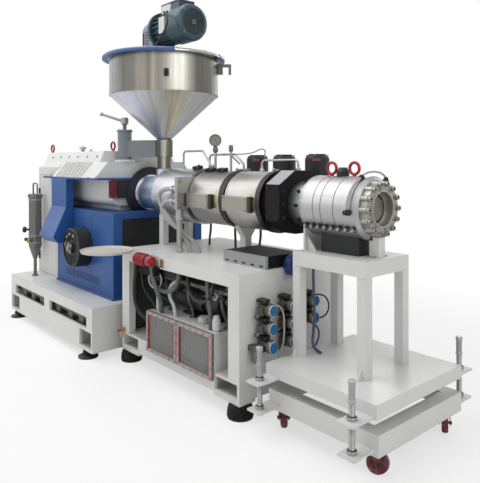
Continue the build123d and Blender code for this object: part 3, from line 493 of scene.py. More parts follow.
coneReflectionStops = ((-180, 0.6, 0.6, 0.6), (-104, 0.92, 0.93, 0.93), (-76, 0.68, 0.72, 0.86),
             (-60, 0.66, 0.67, 0.68), (-40, 0.75, 0.73, 0.70), (-24, 0.47, 0.43, 0.34),
             (-15, 0.82, 0.73, 0.54), (0, 0.58, 0.61, 0.59), (22, 0.36, 0.37, 0.37), (54, 0.55, 0.56, 0.57),
             (120, 0.5, 0.5, 0.5), (180, 0.6, 0.6, 0.6))
whitePaint = paint("white machine enamel", (0.70, 0.705, 0.69), 0.36, mottle=0.3, dust=0.10,
                   wear=(0.36, 0.36, 0.35), wearShare=0.16, coat=0.12)
channelWhite = paint("white moulded plastic", (0.64, 0.65, 0.65), 0.4, mottle=0.3, dust=0.15, wearShare=0.1,
                     edge=0.0015)
trayCream = paint("cream tray enamel", (0.60, 0.565, 0.50), 0.4, mottle=0.4, dust=0.2, wearShare=0.2)
bluePaint = paint("blue cabinet enamel", (0.020, 0.088, 0.295), 0.36, mottle=0.4, dust=0.10,
                  wear=(0.22, 0.34, 0.55), wearShare=0.35, coat=0.14, shine=0.3)
darkBlue = paint("blue seam shadow", (0.008, 0.028, 0.10), 0.5, mottle=0.3, dust=0.0, wearShare=0.0,
                 coat=0.0, shine=0.2)
drumBlue = paint("deep blue drum", (0.022, 0.040, 0.20), 0.38, mottle=0.3, dust=0.05, coat=0.1, shine=0.3)
capBlue = paint("blue valve cap", (0.012, 0.125, 0.30), 0.34, mottle=0.3, dust=0.0, edge=0.001,
                wearShare=0.1, shine=0.3)
blueFilm = paint("blue protective film", (0.060, 0.125, 0.32), 0.34, mottle=0.5, dust=0.1, edge=0.001,
                 wearShare=0.0)
darkRed = paint("dark red enamel", (0.16, 0.018, 0.020), 0.45, mottle=0.5, dust=0.05, wearShare=0.1,
                edge=0.0015)
stickerRed = paint("red sticker", (0.30, 0.075, 0.08), 0.4, mottle=0.5, dust=0.0, edge=0.0008, wearShare=0.0)
gaugePaper = paint("gauge paper", (0.30, 0.30, 0.26), 0.5, mottle=0.4, dust=0.0, edge=0.0008, wearShare=0.0)
slateLead = paint("slate lead sleeve", (0.105, 0.11, 0.19), 0.45, mottle=0.4, dust=0.05, wearShare=0.0)
grilleGreen = paint("dark green grille", (0.018, 0.034, 0.036), 0.42, mottle=0.3, dust=0.1, edge=0.001,
                    wearShare=0.3)
greyPaint = paint("grey crane enamel", (0.215, 0.24, 0.265), 0.4, dust=0.1, wear=(0.42, 0.42, 0.42))
tealPaint = paint("blue-green motor enamel", (0.038, 0.080, 0.110), 0.36, mottle=0.6, dust=0.15,
                  wear=(0.32, 0.36, 0.38), skin=260.0, bump=0.12)
redPaint = paint("red enamel", (0.36, 0.014, 0.020), 0.34, mottle=0.5, wear=(0.4, 0.2, 0.18), coat=0.3)
blackPaint = paint("black heat-proof paint", (0.014, 0.015, 0.016), 0.42, mottle=0.3, dust=0.12,
                   wear=(0.16, 0.16, 0.16), wearShare=0.6, skin=700.0, bump=0.1)
blackPlastic = paint("black moulded plastic", (0.012, 0.012, 0.013), 0.45, mottle=0.3, dust=0.1,
                     wear=(0.06, 0.06, 0.06), skin=900.0, bump=0.1, edge=0.0015)
paleLabel = paint("pale plate", (0.62, 0.63, 0.61), 0.3, mottle=0.3, dust=0.0, edge=0.0008, wearShare=0.1)
# near black: painted shade in screw wells, slots and rib gaps, and dark seam lines
hollowShadeAndSeams = paint("painted hollow shade and seam lines", (0.008, 0.008, 0.009), 0.6, mottle=0.3, dust=0.0, edge=0.001, wearShare=0.0)
redSeal = paint("red silicone seal", (0.40, 0.03, 0.03), 0.5, mottle=0.4, dust=0.05, edge=0.001,
                wearShare=0.0)
pinkFrame = paint("washed window frame", (0.44, 0.35, 0.335), 0.4, mottle=0.7, dust=0.1, edge=0.001)
stainless = metal("stainless sheet", (0.50, 0.49, 0.465), 0.2, (1, 1, 0.02), 150.0, 0.5)
# hopper drum, neck and cone: bands of painted reflection and painted highlight by the angle round the hopper
# axis
hopperReflectionSheet = reflectionBandedSheet("hopper sheet with painted reflections", (1531, 0), drumReflectionStops)
neckReflectionSheet = reflectionBandedSheet("neck sheet with painted reflections", (1531, 0), neckReflectionStops)
coneReflectionSheet = reflectionBandedSheet("cone sheet with painted reflections", (1531, 0), coneReflectionStops)
hookOlive = metal("dull hook steel", (0.20, 0.19, 0.15), 0.42, (1, 1, 1), 120.0, 0.4)
# darker grey standing for white enamel inside the pockets: painted shade
pocketShadeGrey = paint("pocket enamel in painted shade", (0.40, 0.41, 0.395), 0.45, mottle=0.5, dust=0.25, wearShare=0.2)
channelGrey = paint("grey moulded channel", (0.34, 0.355, 0.365), 0.4, mottle=0.4, dust=0.2, wearShare=0.1,
                    edge=0.0015)
smokeHose = paint("smoke grey hose", (0.115, 0.125, 0.12), 0.42, mottle=0.4, dust=0.15, wearShare=0.0,
                  skin=260.0, bump=0.2)
reducerGrey = paint("light grey reducer enamel", (0.20, 0.215, 0.225), 0.36, mottle=0.7, dust=0.2,
                    wear=(0.1, 0.1, 0.1), wearShare=0.5, edge=0.004)
blockBlack = paint("black block paint", (0.008, 0.008, 0.008), 0.55, mottle=0.3, dust=0.05,
                   wear=(0.1, 0.1, 0.1), wearShare=0.4, shine=0.18, coat=0.0)
# near black sheets set inside the stand and the base: painted shade
innerShadeSheet = paint("inner sheet in painted shade", (0.030, 0.034, 0.034), 0.5, mottle=0.8, dust=0.1, wearShare=0.1)
shroudSheet = metal("heater shroud sheet", (0.54, 0.53, 0.505), 0.3, (0.03, 1, 1), 120.0, 0.45)
coverSheet = metal("cover sheet", (0.40, 0.385, 0.345), 0.4, (0.05, 1, 1), 120.0, 0.35)
plainPlate = metal("plain plate", (0.40, 0.40, 0.42), 0.42, (0.05, 1, 1), 120.0, 0.25)
oliveShade = metal("shaded bracket", (0.085, 0.08, 0.055), 0.45, (1, 1, 1), 120.0, 0.4)
tanStrip = metal("pale bronze strip", (0.56, 0.47, 0.24), 0.38, (1, 0.05, 1), 150.0, 0.3,
                 bright=(0.75, 0.68, 0.5))
pewter = metal("cast valve body", (0.20, 0.19, 0.165), 0.42, (1, 1, 1), 60.0, 0.7, bump=0.2)
chrome = metal("bright rim", (0.72, 0.72, 0.73), 0.14, (1, 1, 1), 120.0, 0.2)
steel = metal("machined steel", (0.42, 0.425, 0.43), 0.28, (0.04, 1, 1), 190.0, 0.4)
dieSteel = metal("ground die steel", (0.50, 0.50, 0.505), 0.34, (0.03, 1, 1), 140.0, 0.22)
dieScrew = metal("nickel screw heads", (0.40, 0.385, 0.345), 0.24, (1, 1, 1), 90.0, 0.4)
coreSteel = metal("worn core steel", (0.36, 0.33, 0.285), 0.34, (1, 1, 1), 80.0, 0.6)
dieFace = metal("die face steel", (0.46, 0.445, 0.40), 0.36, (1, 1, 1), 90.0, 0.5)
ringSteel = metal("dark clamp ring", (0.075, 0.072, 0.066), 0.36, (0.04, 1, 1), 140.0, 0.5)
blueSteel = metal("cooled throat steel", (0.62, 0.73, 0.92), 0.34, (0.04, 1, 1), 140.0, 0.3)
barrelSteel = metal("feed barrel steel", (0.60, 0.615, 0.64), 0.24, (0.04, 1, 1), 140.0, 0.3)
creamFlange = metal("nickel flange", (0.46, 0.45, 0.42), 0.32, (1, 1, 0.05), 120.0, 0.3)
filterSteel = metal("dull filter steel", (0.21, 0.21, 0.195), 0.36, (1, 1, 0.04), 120.0, 0.4)
boltSteel = metal("bolt steel", (0.36, 0.36, 0.365), 0.3, (1, 1, 1), 300.0, 0.4)
darkBolt = metal("blackened bolt", (0.035, 0.035, 0.037), 0.38, (1, 1, 1), 300.0, 0.3,
                 bright=(0.25, 0.25, 0.25), metallic=0.6)
zinc = metal("zinc plate", (0.50, 0.51, 0.52), 0.33, (1, 1, 1), 90.0, 0.45)
brass = metal("brass strip", (0.52, 0.36, 0.15), 0.3, (0.05, 1, 1), 150.0, 0.4, bright=(0.75, 0.6, 0.3))
castorFork = paint("red-brown castor fork", (0.10, 0.028, 0.024), 0.4, mottle=0.6, dust=0.3,
                   wear=(0.3, 0.2, 0.18), edge=0.0015)
castorRed = paint("castor tread", (0.13, 0.014, 0.016), 0.45, mottle=0.6, dust=0.4, wear=(0.2, 0.1, 0.09))
rubber = paint("black hose rubber", (0.013, 0.013, 0.014), 0.5, mottle=0.4, dust=0.15, wearShare=0.0,
               skin=300.0, bump=0.15)
greyHose = paint("grey ribbed hose", (0.40, 0.40, 0.385), 0.42, mottle=0.4, dust=0.15, wearShare=0.0,
                 skin=260.0, bump=0.2)
violetLead = paint("violet lead sleeve", (0.07, 0.055, 0.28), 0.45, mottle=0.4, dust=0.05, wearShare=0.0)
window = windowSheet("clear window sheet")
print("materials:", len(bpy.data.materials))

finishBySlot = {"white_paint": whitePaint, "blue_paint": bluePaint, "grey_paint": greyPaint,
                "teal_paint": tealPaint, "red_paint": redPaint, "black_paint": blackPaint, "steel": steel,
                "stainless": stainless, "clear_window": window, "black_rubber": rubber,
                "grey_hose": greyHose, "castor_tread": castorRed, "zinc": zinc}
# the hopper drum, cone and neck take sheets with painted reflection bands
finishByNode = {"barrel_shrouds": shroudSheet, "feed_throat": blueSteel, "barrel_flange": creamFlange,
                "die_body": dieSteel, "die_flange": dieFace, "levelling_feet": blackPaint,
                "lift_lever": steel, "feed_barrel": barrelSteel, "gear_reducer": reducerGrey,
                "heater_block": blockBlack, "barrel_rings": ringSteel, "hopper_drum": hopperReflectionSheet,
                "hopper_cone": coneReflectionSheet, "hopper_neck": neckReflectionSheet, "hopper_lid": stainless,
                "oil_filter": filterSteel, "tool_tray": trayCream, "cable_box": blackPaint,
                "valve_units": pewter, "castor_fork_near_front": castorFork,
                "castor_fork_near_rear": castorFork, "castor_fork_far_front": castorFork,
                "castor_fork_far_rear": castorFork}


def dressNodes():
    slotOf = {part["node"]: part["material_slot"] for part in frame["record"]["subparts"]}
    for name, obj in cadNodes.items():
        finish = finishByNode.get(name, finishBySlot[slotOf[name]])
        obj.data.materials.clear()
        obj.data.materials.append(finish)


dressNodes()
print("carried-over nodes dressed")

# die: socket heads, rims, plugs, hoses, clamps along the underside
dieLook = {"endX": 3460, "lugs": 14, "circle": 124, "headR": 13, "headH": 15, "innerCount": 8,
           "innerCircle": 100, "radius": 158, "plug": (3376, -158, 1096),
           "caps": ((3384, -62, 1252), (3442, 48, 1238))}


def dressDie():
    centre = (dieLook["endX"], 0, axisZ)
    lugs = ringPlaces(dieLook["lugs"], dieLook["circle"], endWay, centre,
                      math.pi / 2 - math.pi / dieLook["lugs"])
    heads = rows(capScrew(dieLook["headR"], dieLook["headH"]), endWay, lugs)
    inner = ringPlaces(dieLook["innerCount"], dieLook["innerCircle"], endWay, centre, 0.2)
    piece("die_face_screws", [heads, rows(capScrew(6, 6), endWay, inner)], dieScrew)
    core = spun([(46.4, 3378), (63, 3378), (66, 3381), (66, 3415), (63, 3418), (20, 3418)], 56, endWay,
                (0, 0, axisZ))
    piece("die_core_face", core, coreSteel)
    # painted shade in the wells round the screw heads
    wells = [spun([(4, 0), (5, 0.5), (5, 6.5), (4, 7)], 6, endWay, at + np.array([5.5, 0, 0])) for at in lugs]
    piece("die_screw_wells", wells, hollowShadeAndSeams)
    rims = [spun([(r + 2.5, -4), (r + 2.5, 4), (r - 2, 4), (r - 2, -4)], 64, endWay, (x, 0, axisZ), True)
            for x, r in ((3062, 157), (3398, 157))]
    lip = spun([(85, -2), (92, -2), (92, 4), (85, 4)], 48, endWay, centre, True)
    piece("die_rims", [*rims, lip], dieSteel)
    plugs = [spun([(9, -4), (15, 0), (15, 16), (12, 20), (12, 34), (8, 38)], 20, (0, -1, 0.05),
                  dieLook["plug"])]
    for at, out in zip(dieLook["caps"], ((0, -0.4, 0.92), (0, 0.3, 0.95))):
        plugs.append(plate((30, 24, 14, 5, 2), out, at))
        plugs.append(spun([(12, 12), (12, 22), (8, 26)], 18, out, at))
    piece("die_plugs", plugs, blackPlastic)
    clamps, feet = [], []
    for x in np.linspace(3082, 3388, 8):
        for turn in (-2.2, 2.2):
            out = np.array([0, math.sin(turn), math.cos(turn)])
            at = np.array([x, 0, axisZ]) + out * dieLook["radius"]
            clamps.append(plate((22, 26, 16, 4, 1.5), out, at))
            feet.append(turned(hexHead(7, 9), out, at + out * 16))
            feet.append(spun([(4, 0), (4, 30)], 10, (0, out[1], 0.2), at + out * 6 + np.array([12, 0, -4])))
    piece("die_under_clamps", clamps, darkBolt)
    piece("die_under_bolts", feet, boltSteel)
    hose("die_front_hose", [(3386, -64, 1270), (3396, -58, 1284), (3414, -12, 1294), (3434, 32, 1286),
                            (3442, 54, 1262)], 5, greyHose)
    hose("die_strap_hose", [(3376, -172, 1112), (3377, -172, 1140), (3379, -152, 1192), (3382, -118, 1234),
                            (3384, -80, 1258), (3384, -68, 1264)], 7, greyHose)
    print("die dressed")


dressDie()

# trolley: hexagon nuts and threads on the jacks, castor wheels, plate bolts, welds
trolley = {"jackX": (3058, 3617), "jackY": 443, "nutZ": (109, 135, 248, 274),
           "threads": ((152, 246), (291, 343)), "saddleTop": 875, "legX": (3027, 3440), "legWide": 50,
           "legTop": (178, 799), "legFoot": (178.5, 328.5), "bead": 3.2}
castor = {"trail": 22, "radius": 50, "axleHalf": 26, "raceZ": 124, "plateZ": 140, "boltAt": (-36, 36)}
castorPlaces = {"near_front": (3617, -300, 49), "near_rear": (3085, -300, 140),
                "far_front": (3617, 300, 300), "far_rear": (3085, 300, 160)}


def thread(low, high, root=12.1, crest=13.6, pitch=4.0):
    # root and crest radius by turns up the screw
    z = np.arange(low, high, pitch)
    radii = np.tile([root, crest], len(z))
    return lathe(np.stack([radii, np.stack([z, z + pitch / 2], 1).ravel()], 1), 16)


def dressTrolley():
    nuts = joined(*[spun([(21, 0), (23, 2), (23, 14), (21, 16)], 6, upWay, (0, 0, z))
                    for z in trolley["nutZ"]])
    spots = [(x, s * trolley["jackY"], 0) for x in trolley["jackX"] for s in (-1, 1)]
    piece("jack_hex_nuts", copies(nuts, spots), zinc)
    threads = joined(*[thread(low, high) for low, high in trolley["threads"]])
    piece("jack_threads", copies(threads, spots), steel, smooth=20)
    cap = lathe([(14.2, 418), (16.5, 420), (16.5, 437), (13, 441)], 24)
    sleeve = lathe([(14.2, 346), (16.5, 347), (16.5, 360), (14.2, 361)], 24)
    piece("jack_sleeve_caps", copies(joined(cap, sleeve), spots), zinc)
    for name, (x, y, heading) in castorPlaces.items():
        h = math.radians(heading)
        trail = castor["trail"]
        hub = np.array([x + trail * math.cos(h), y + trail * math.sin(h), castor["radius"]])
        axle = np.array([-math.sin(h), math.cos(h), 0])
        tyre = lathe([(6.2, -16), (13, -16), (15, -11), (32, -11), (35, -14), (43, -15.5), (47.5, -12),
                      (49.6, -6), (50, 0), (49.6, 6), (47.5, 12), (43, 15.5), (35, 14), (32, 11), (15, 11),
                      (13, 16), (6.2, 16)], 48, True)
        piece("castor_tyre_" + name, turned(tyre, axle, hub), castorRed, "wheel_" + name,
              replaces=("castor_wheel_" + name,))
        ends = [turned(hexHead(8, 7), axle * s, hub + axle * castor["axleHalf"] * s) for s in (1, -1)]
        race = spun([(33.2, 0), (37, 2), (37, 9), (33.2, 11)], 32, upWay, (x, y, castor["raceZ"]))
        piece("castor_axle_nuts_" + name, [race, *ends], darkBolt, "fork_" + name)
        corners = [(x + a, y + b, castor["plateZ"]) for a in castor["boltAt"] for b in castor["boltAt"]]
        piece("castor_plate_bolts_" + name, rows(hexHead(7, 7), (0, 0, -1), corners), boltSteel)
    top = trolley["saddleTop"]
    holds = [(3080, -60, top), (3080, 60, top)] + [(x, y, top) for x in (3415, 3440) for y in (-48, 48)]
    piece("saddle_bolts", copies(hexHead(9, 8), holds), boltSteel)
    beads = []
    wave = np.outer(0.8 * np.sin(np.arange(16) * 2.2), upWay)
    for x0 in trolley["legX"]:
        for s in (-1, 1):
            for (y, z), ripple in ((trolley["legTop"], wave), (trolley["legFoot"], 0 * wave)):
                run = np.linspace((x0, s * y, z), (x0 + trolley["legWide"], s * y, z), 16)
                beads.append(pipe(run + ripple, trolley["bead"], 8))
    piece("table_leg_welds", beads, whitePaint)
    print("trolley dressed")


dressTrolley()

# barrel stand: sight windows with seals and bolts, cooling coils in the tank
tank = {"windows": (2003, 2341), "width": 330, "z0": 152, "z1": 405, "face": -436}


def dressTank():
    middle = (tank["z0"] + tank["z1"]) / 2
    tall = tank["z1"] - tank["z0"]
    frames, seals, bolts = [], [], []
    for x0 in tank["windows"]:
        at = (x0 + tank["width"] / 2, tank["face"], middle)
        frames.append(turned(border(tank["width"] - 2, tall - 2, 20, 7, 6), nearWay, at))
        for x in (x0 + 25, x0 + tank["width"] - 25):
            seals.append(plate((7, tall - 40, 9, 3, 1), nearWay, (x, tank["face"], middle)))
        xs = np.linspace(x0 + 12, x0 + tank["width"] - 12, 6)
        zs = np.linspace(tank["z0"] + 12, tank["z1"] - 12, 5)[1:-1]
        spots = [(x, tank["face"] - 7, z) for x in xs for z in (tank["z0"] + 12, tank["z1"] - 12)]
        spots += [(x, tank["face"] - 7, z) for z in zs for x in (x0 + 12, x0 + tank["width"] - 12)]
        bolts.append(rows(hexHead(6, 6), nearWay, spots))
    piece("window_frames", frames, pinkFrame)
    piece("window_seals", seals, redSeal)
    piece("window_bolts", bolts, boltSteel)
    coil = [(2035, -330, 235), (2300, -330, 235), (2300, -330, 300), (2040, -330, 300), (2040, -330, 360),
            (2310, -330, 360)]
    other = [(x + 334, y, z) for x, y, z in coil]
    piece("tank_cooling_coil", [pipe(bent(coil), 12), pipe(bent(other), 12)], steel)
    print("tank dressed")


dressTank()

# water header with its taps, drain and hoses
pipeRun = {"y": -352, "z": 618, "radius": 15, "x0": 1770, "x1": 2760}
tapPlaces = (2100, 2330, 2530, 2650)
hoseRoutes = [("pump_hose_left", [(1935, -474, 704), (1932, -474, 640), (1906, -470, 540),
                                  (1902, -462, 440), (1940, -450, 372), (2003, -430, 345)], 14, rubber),
              ("pump_hose_right", [(2100, -464, 704), (2106, -464, 640), (2146, -456, 560),
                                   (2160, -436, 490), (2132, -412, 444), (2114, -396, 405)], 13, smokeHose),
              ("loop_hose_a", [(1990, -396, 746), (1992, -406, 640), (2060, -414, 560), (2180, -414, 540),
                               (2280, -408, 580), (2310, -400, 660), (2310, -396, 746)], 13, smokeHose),
              ("loop_hose_b", [(2390, -396, 746), (2392, -400, 640), (2440, -408, 560), (2540, -408, 540),
                               (2620, -404, 590), (2640, -398, 660), (2640, -396, 746)], 11, rubber),
              ("down_hose_left", [(1810, -300, 746), (1810, -300, 640), (1814, -300, 560),
                                  (1850, -296, 490), (1920, -290, 462), (2000, -284, 452),
                                  (2052, -280, 438), (2076, -280, 405)], 12, rubber),
              ("down_hose_right", [(2580, -398, 746), (2582, -400, 610), (2612, -406, 540),
                                   (2616, -404, 470), (2604, -392, 430), (2600, -390, 405)], 12, smokeHose),
              ("cross_hose", [(1840, -345, 746), (1840, -350, 690), (1858, -386, 600), (1912, -402, 520),
                              (1976, -400, 474), (2024, -394, 444), (2046, -388, 405)], 10, rubber)]


def dressPipes():
    y, z, r = pipeRun["y"], pipeRun["z"], pipeRun["radius"]
    header = spun([(r, pipeRun["x0"]), (r, pipeRun["x1"])], 20, endWay, (0, y, z))
    shapes = [header]
    for x in tapPlaces:
        shapes.append(pipe(bent([(x, y, z), (x, y, z - 60), (x, y + 10, z - 110), (x, y + 40, 445),
                                 (x, y + 40, 405)]), 9, 12))
        shapes.append(spun([(19, -14), (21, -8), (21, 8), (19, 14)], 20, endWay, (x, y, z)))
        shapes.append(spun([(14, 0), (17, 3), (17, 26), (14, 30)], 6, (0, 0, -1), (x, y, z - 22)))
        shapes.append(spun([(22, 0), (22, 6), (13, 8), (13, 16)], 20, upWay, (x, y + 40, 405)))
    for x in (1790, 2745):
        shapes.append(pipe(bent([(x, y, z), (x, y, z + 30), (x, y, 700)]), 13, 14))
    piece("water_pipes", shapes, pewter)
    arms = []
    for x in tapPlaces:
        arms.append(plate((58, 13, 4, 5, 1), (0, -1, 0.15), (x + 16, y - 24, z - 36), 0.35))
        arms.append(spun([(8, 0), (8, 18), (6, 20)], 14, nearWay, (x, y - 8, z - 36)))
    piece("tap_levers", arms, blackPlastic)
    piece("drain_lever", plate((64, 14, 5, 5, 1), nearWay, (1690, -458, 212), 0.5), redPaint)
    drain = [spun([(15, 0), (15, 8), (11, 10), (11, 34), (8, 36)], 18, nearWay, (1690, -422, 212)),
             pipe(bent([(1690, -440, 212), (1690, -446, 190), (1692, -444, 160)]), 9, 12)]
    piece("drain_tap", drain, brass)
    for name, points, radius, material in hoseRoutes:
        hose(name, points, radius, material)
    print("pipes and hoses run")


dressPipes()

# coolant motor with fins, block under it, labels on the apron
coolant = {"y": -466, "z": 727}


def dressCoolant():
    at = (0, coolant["y"], coolant["z"])
    barrel = [(18, 1916), (29, 1920), (36, 1932), (38, 1942), (38, 2040), (33, 2044), (33, 2106),
              (29, 2114), (10, 2116)]
    body = spun(barrel, 44, endWay, at)
    fins = [spun([(37.5, x), (41, x + 0.6), (41, x + 2.8), (37.5, x + 3.4)], 40, endWay, at)
            for x in np.arange(1948, 2034, 9.0)]
    foot = plate((110, 34, 46, 4, 1), (0, 1, 0), (2000, coolant["y"], coolant["z"] - 10))
    piece("coolant_motor", [body, *fins, foot], redPaint, replaces=("coolant_pump",))
    band = spun([(33, 2052), (34.5, 2053), (34.5, 2070), (33, 2071)], 40, endWay, at)
    under = plate((48, 180, 50, 5, 2), upWay, (2040, -444, coolant["z"] - 86))
    piece("coolant_pump_block", [band, under], blockBlack)
    label = plate((27, 50, 1.2, 2, 0.4), nearWay, (2112, -422, 719))
    piece("apron_label", label, trayCream)
    strip = plate((38, 52, 2, 2, 0.6), nearWay, (2155, -422, 718))
    piece("apron_strip", strip, tanStrip)
    lugs = rows(capScrew(4, 4), endWay, ringPlaces(6, 22, endWay, (2114.5, coolant["y"], coolant["z"])))
    piece("coolant_pump_screws", lugs, darkBolt)
    print("coolant unit dressed")


dressCoolant()

# under the stand top: black pump block, white fittings, knobs; lines in the base, pockets and feet
underTop = {"pumpAt": (2040, -398, 600), "deck": 747, "tankTop": 405,
            "knobAt": ((2790, -404, 662), (2790, -404, 590))}
footLook = {"nuts": ((116, 575, 30), (1462, 575, 30), (1708, 376, 62), (2836, 376, 62)),
            "boots": [(x, y, 0) for x in (1708, 2836) for y in (-376, 376)],
            "pads": [(x, -365.5, 74.5) for x in (1769.5, 2774.5)]}
# near ends of the pockets along x, their width, low and high edge, and the wall's inner face
pockets = (((19, 1381), 178, 73, 185, -583), ((1681, 2677), 186, 110, 182, -402))


def pocketLiner(x0, x1, z0, z1, face, depth=90):
    # back, floor and two sides of a box that is open toward the wall's pocket
    x, y, z = (x0 + x1) / 2, face + depth / 2, (z0 + z1) / 2
    back = plate((x1 - x0 + 16, z1 - z0 + 16, 3, 1, 0.4), nearWay, (x, face + depth, z))
    bottom = plate((depth, x1 - x0 + 16, 3, 1, 0.4), upWay, (x, y, z0 - 6))
    sides = [plate((depth, z1 - z0 + 16, 3, 1, 0.4), endWay, (at, y, z)) for at in (x0 - 4.5, x1 + 1.5)]
    return joined(back, bottom, *sides)


def dressUnderTop():
    x, y, z = underTop["pumpAt"]
    near = (0.25, -1, 0)
    body = spun([(42, -90), (58, -84), (58, -6), (50, 0), (20, 1)], 36, near, (x, y, z))
    hanger = plate((70, 40, underTop["deck"] - z - 40, 4, 1), upWay, (x, y + 40, z + 40))
    box = plate((90, 230, 120, 8, 3), upWay, (2180, -330, 627))
    low = plate((70, 150, 70, 8, 3), upWay, (2400, -330, 677))
    piece("under_pump", [body, hanger, box, low], blackPaint)
    # dark back and side sheets under the stand top: painted shade
    back = plate((1076, 318, 4, 3, 1), nearWay, (2272, 62, 590))
    left = plate((748, 534, 4, 3, 1), (-1, 0, 0), (1700, 0, 464))
    piece("inner_sheets", [back, left], innerShadeSheet)
    rim = spun([(50, 0), (59, -1), (60, 3), (52, 5)], 36, near, (x, y, z), True)
    cap = spun([(31, 0), (34, 2), (34, 32), (31, 35), (12, 35)], 36, upWay, (2460, -330, underTop["tankTop"]))
    cup = spun([(17, 0), (17, 8), (24, 10), (24, 66), (18, 72), (18, 84), (12, 88)], 28, upWay,
               (2640, -380, underTop["tankTop"]))
    elbow = pipe(bent([(2240, -352, 618), (2196, -372, 600), (2176, -382, 556), (2186, -384, 500),
                       (2230, -380, 470), (2236, -378, underTop["tankTop"])]), 11, 14)
    bend = pipe(bent([(2430, -352, 618), (2474, -346, 606), (2575, -336, 606), (2592, -330, 580),
                      (2570, -325, 556), (2505, -300, 552), (2480, -262, 548)]), 11, 14)
    upright = pipe(bent([(2050, -352, 618), (2052, -376, 590), (2052, -384, 540),
                         (2052, -384, underTop["tankTop"])]), 12, 14)
    piece("white_fittings", [rim, cap, cup, elbow, bend, upright], channelWhite)
    knobs = [spun([(8, 0), (8, 10), (16, 12), (16, 26), (12, 30)], 20, (-1, 0, 0), at)
             for at in underTop["knobAt"]]
    piece("leg_knobs", knobs, blackPlastic)
    feet = [spun([(26.2, 0), (40, 0), (40, 16), (26.2, 18)], 6, upWay, (x, s * y, z))
            for x, y, z in footLook["nuts"] for s in (1, -1)]
    piece("foot_nuts", feet, blockBlack)
    runs = [spun([(r, 0), (r, 1554)], 18, endWay, (12, -y, z))
            for r, y, z in ((16, 548, 246), (12, 520, 216))]
    blocks = copies(slab(70, 60, 90, 6, 2), [(x, -540, 190) for x in (230, 420, 610, 930, 1150, 1330)])
    inside = joined(*runs, blocks)
    piece("base_inner_lines", [inside, mirrored(inside)], pewter)
    # dark sheets inside the base: painted shade
    sheet = plate((1500, 260, 4, 3, 1), nearWay, (790, -430, 211))
    piece("base_inner_sheets", [sheet, mirrored(sheet)], innerShadeSheet)
    # liners in painted shade grey close the pockets
    liners = [pocketLiner(x, x + w, low, high, face) for ends, w, low, high, face in pockets for x in ends]
    inside = joined(*liners)
    piece("pocket_liners", [inside, mirrored(inside)], pocketShadeGrey)
    pads = joined(*[plate((112, 214, 20, 2, 1), upWay, at) for at in footLook["pads"]])
    piece("corner_pads", [pads, mirrored(pads)], whitePaint)
    boot = lathe([(66, 6), (70, 8), (71.5, 14), (69, 42), (63, 66), (57, 73)], 40)
    piece("foot_boots", copies(boot, footLook["boots"]), blockBlack)
    print("space under the stand dressed")


dressUnderTop()

# gearbox: hood screws, breather, side strip, slots in the nose drawn in painted shade
gear = {"slope": (-317.5, 1387.5), "lean": (0, -0.925, 0.38), "screwX": (230, 400, 570, 740, 910, 1080),
        "breather": (469, -150, 1430), "plug": (564, -120, 1430),
        "slots": ((1262, -88), (1255, 12), (1272, 120)), "noseTop": 1345}


def dressGearbox():
    y, z = gear["slope"]
    heads = rows(capScrew(9, 7), gear["lean"], [(x, y, z) for x in gear["screwX"]])
    shelf = rows(hexHead(8, 7), upWay, [(x, -444, 1225) for x in (380, 470, 1180, 1300)])
    piece("hood_screws", [heads, mirrored(heads), shelf, mirrored(shelf)], boltSteel)
    vent = lathe([(15, 0), (15, 12), (20, 13), (20, 20), (12, 22), (12, 28), (30, 30), (33, 36), (30, 46),
                  (16, 52)], 28)
    plug = lathe([(18, 0), (18, 10), (11, 12), (11, 26)], 6)
    vents = [turned(vent, upWay, gear["breather"]), turned(plug, upWay, gear["plug"])]
    piece("gear_breather", vents, zinc)
    # nose slots are thin plates in painted shade
    slots = [plate((66, 20, 1.5, 9, 0.4), upWay, (x, y, gear["noseTop"])) for x, y in gear["slots"]]
    piece("nose_slots", slots, hollowShadeAndSeams)
    strip = plate((66, 144, 5, 3, 1), endWay, (1318, -313, 1149))
    piece("red_side_strip", strip, darkRed)
    rivets = rows(capScrew(5, 4), endWay, [(1323, y, z) for y in (-336, -290) for z in (1090, 1208)])
    bell = rows(hexHead(9, 8), endWay, [(1330, 235, z) for z in (1100, 1150, 1200)])
    piece("bell_screws", [rivets, bell], boltSteel)
    rim = spun([(125.3, 0), (137, 0), (137, 9), (133, 12), (125.3, 12)], 72, endWay, (1338, 0, axisZ), True)
    piece("throat_rim", rim, chrome)
    print("gearbox dressed")


dressGearbox()

# cabinet: black vent panel, low louvres, door seams, motor front
cabinet = {"face": -390, "front": 1461, "panel": (636, 211), "panelZ": 822.5, "louvreX": 957,
           "louvreZ": (440, 455, 470, 485)}
motor = {"x": 1003, "front": -490, "z": 690, "radius": 148}


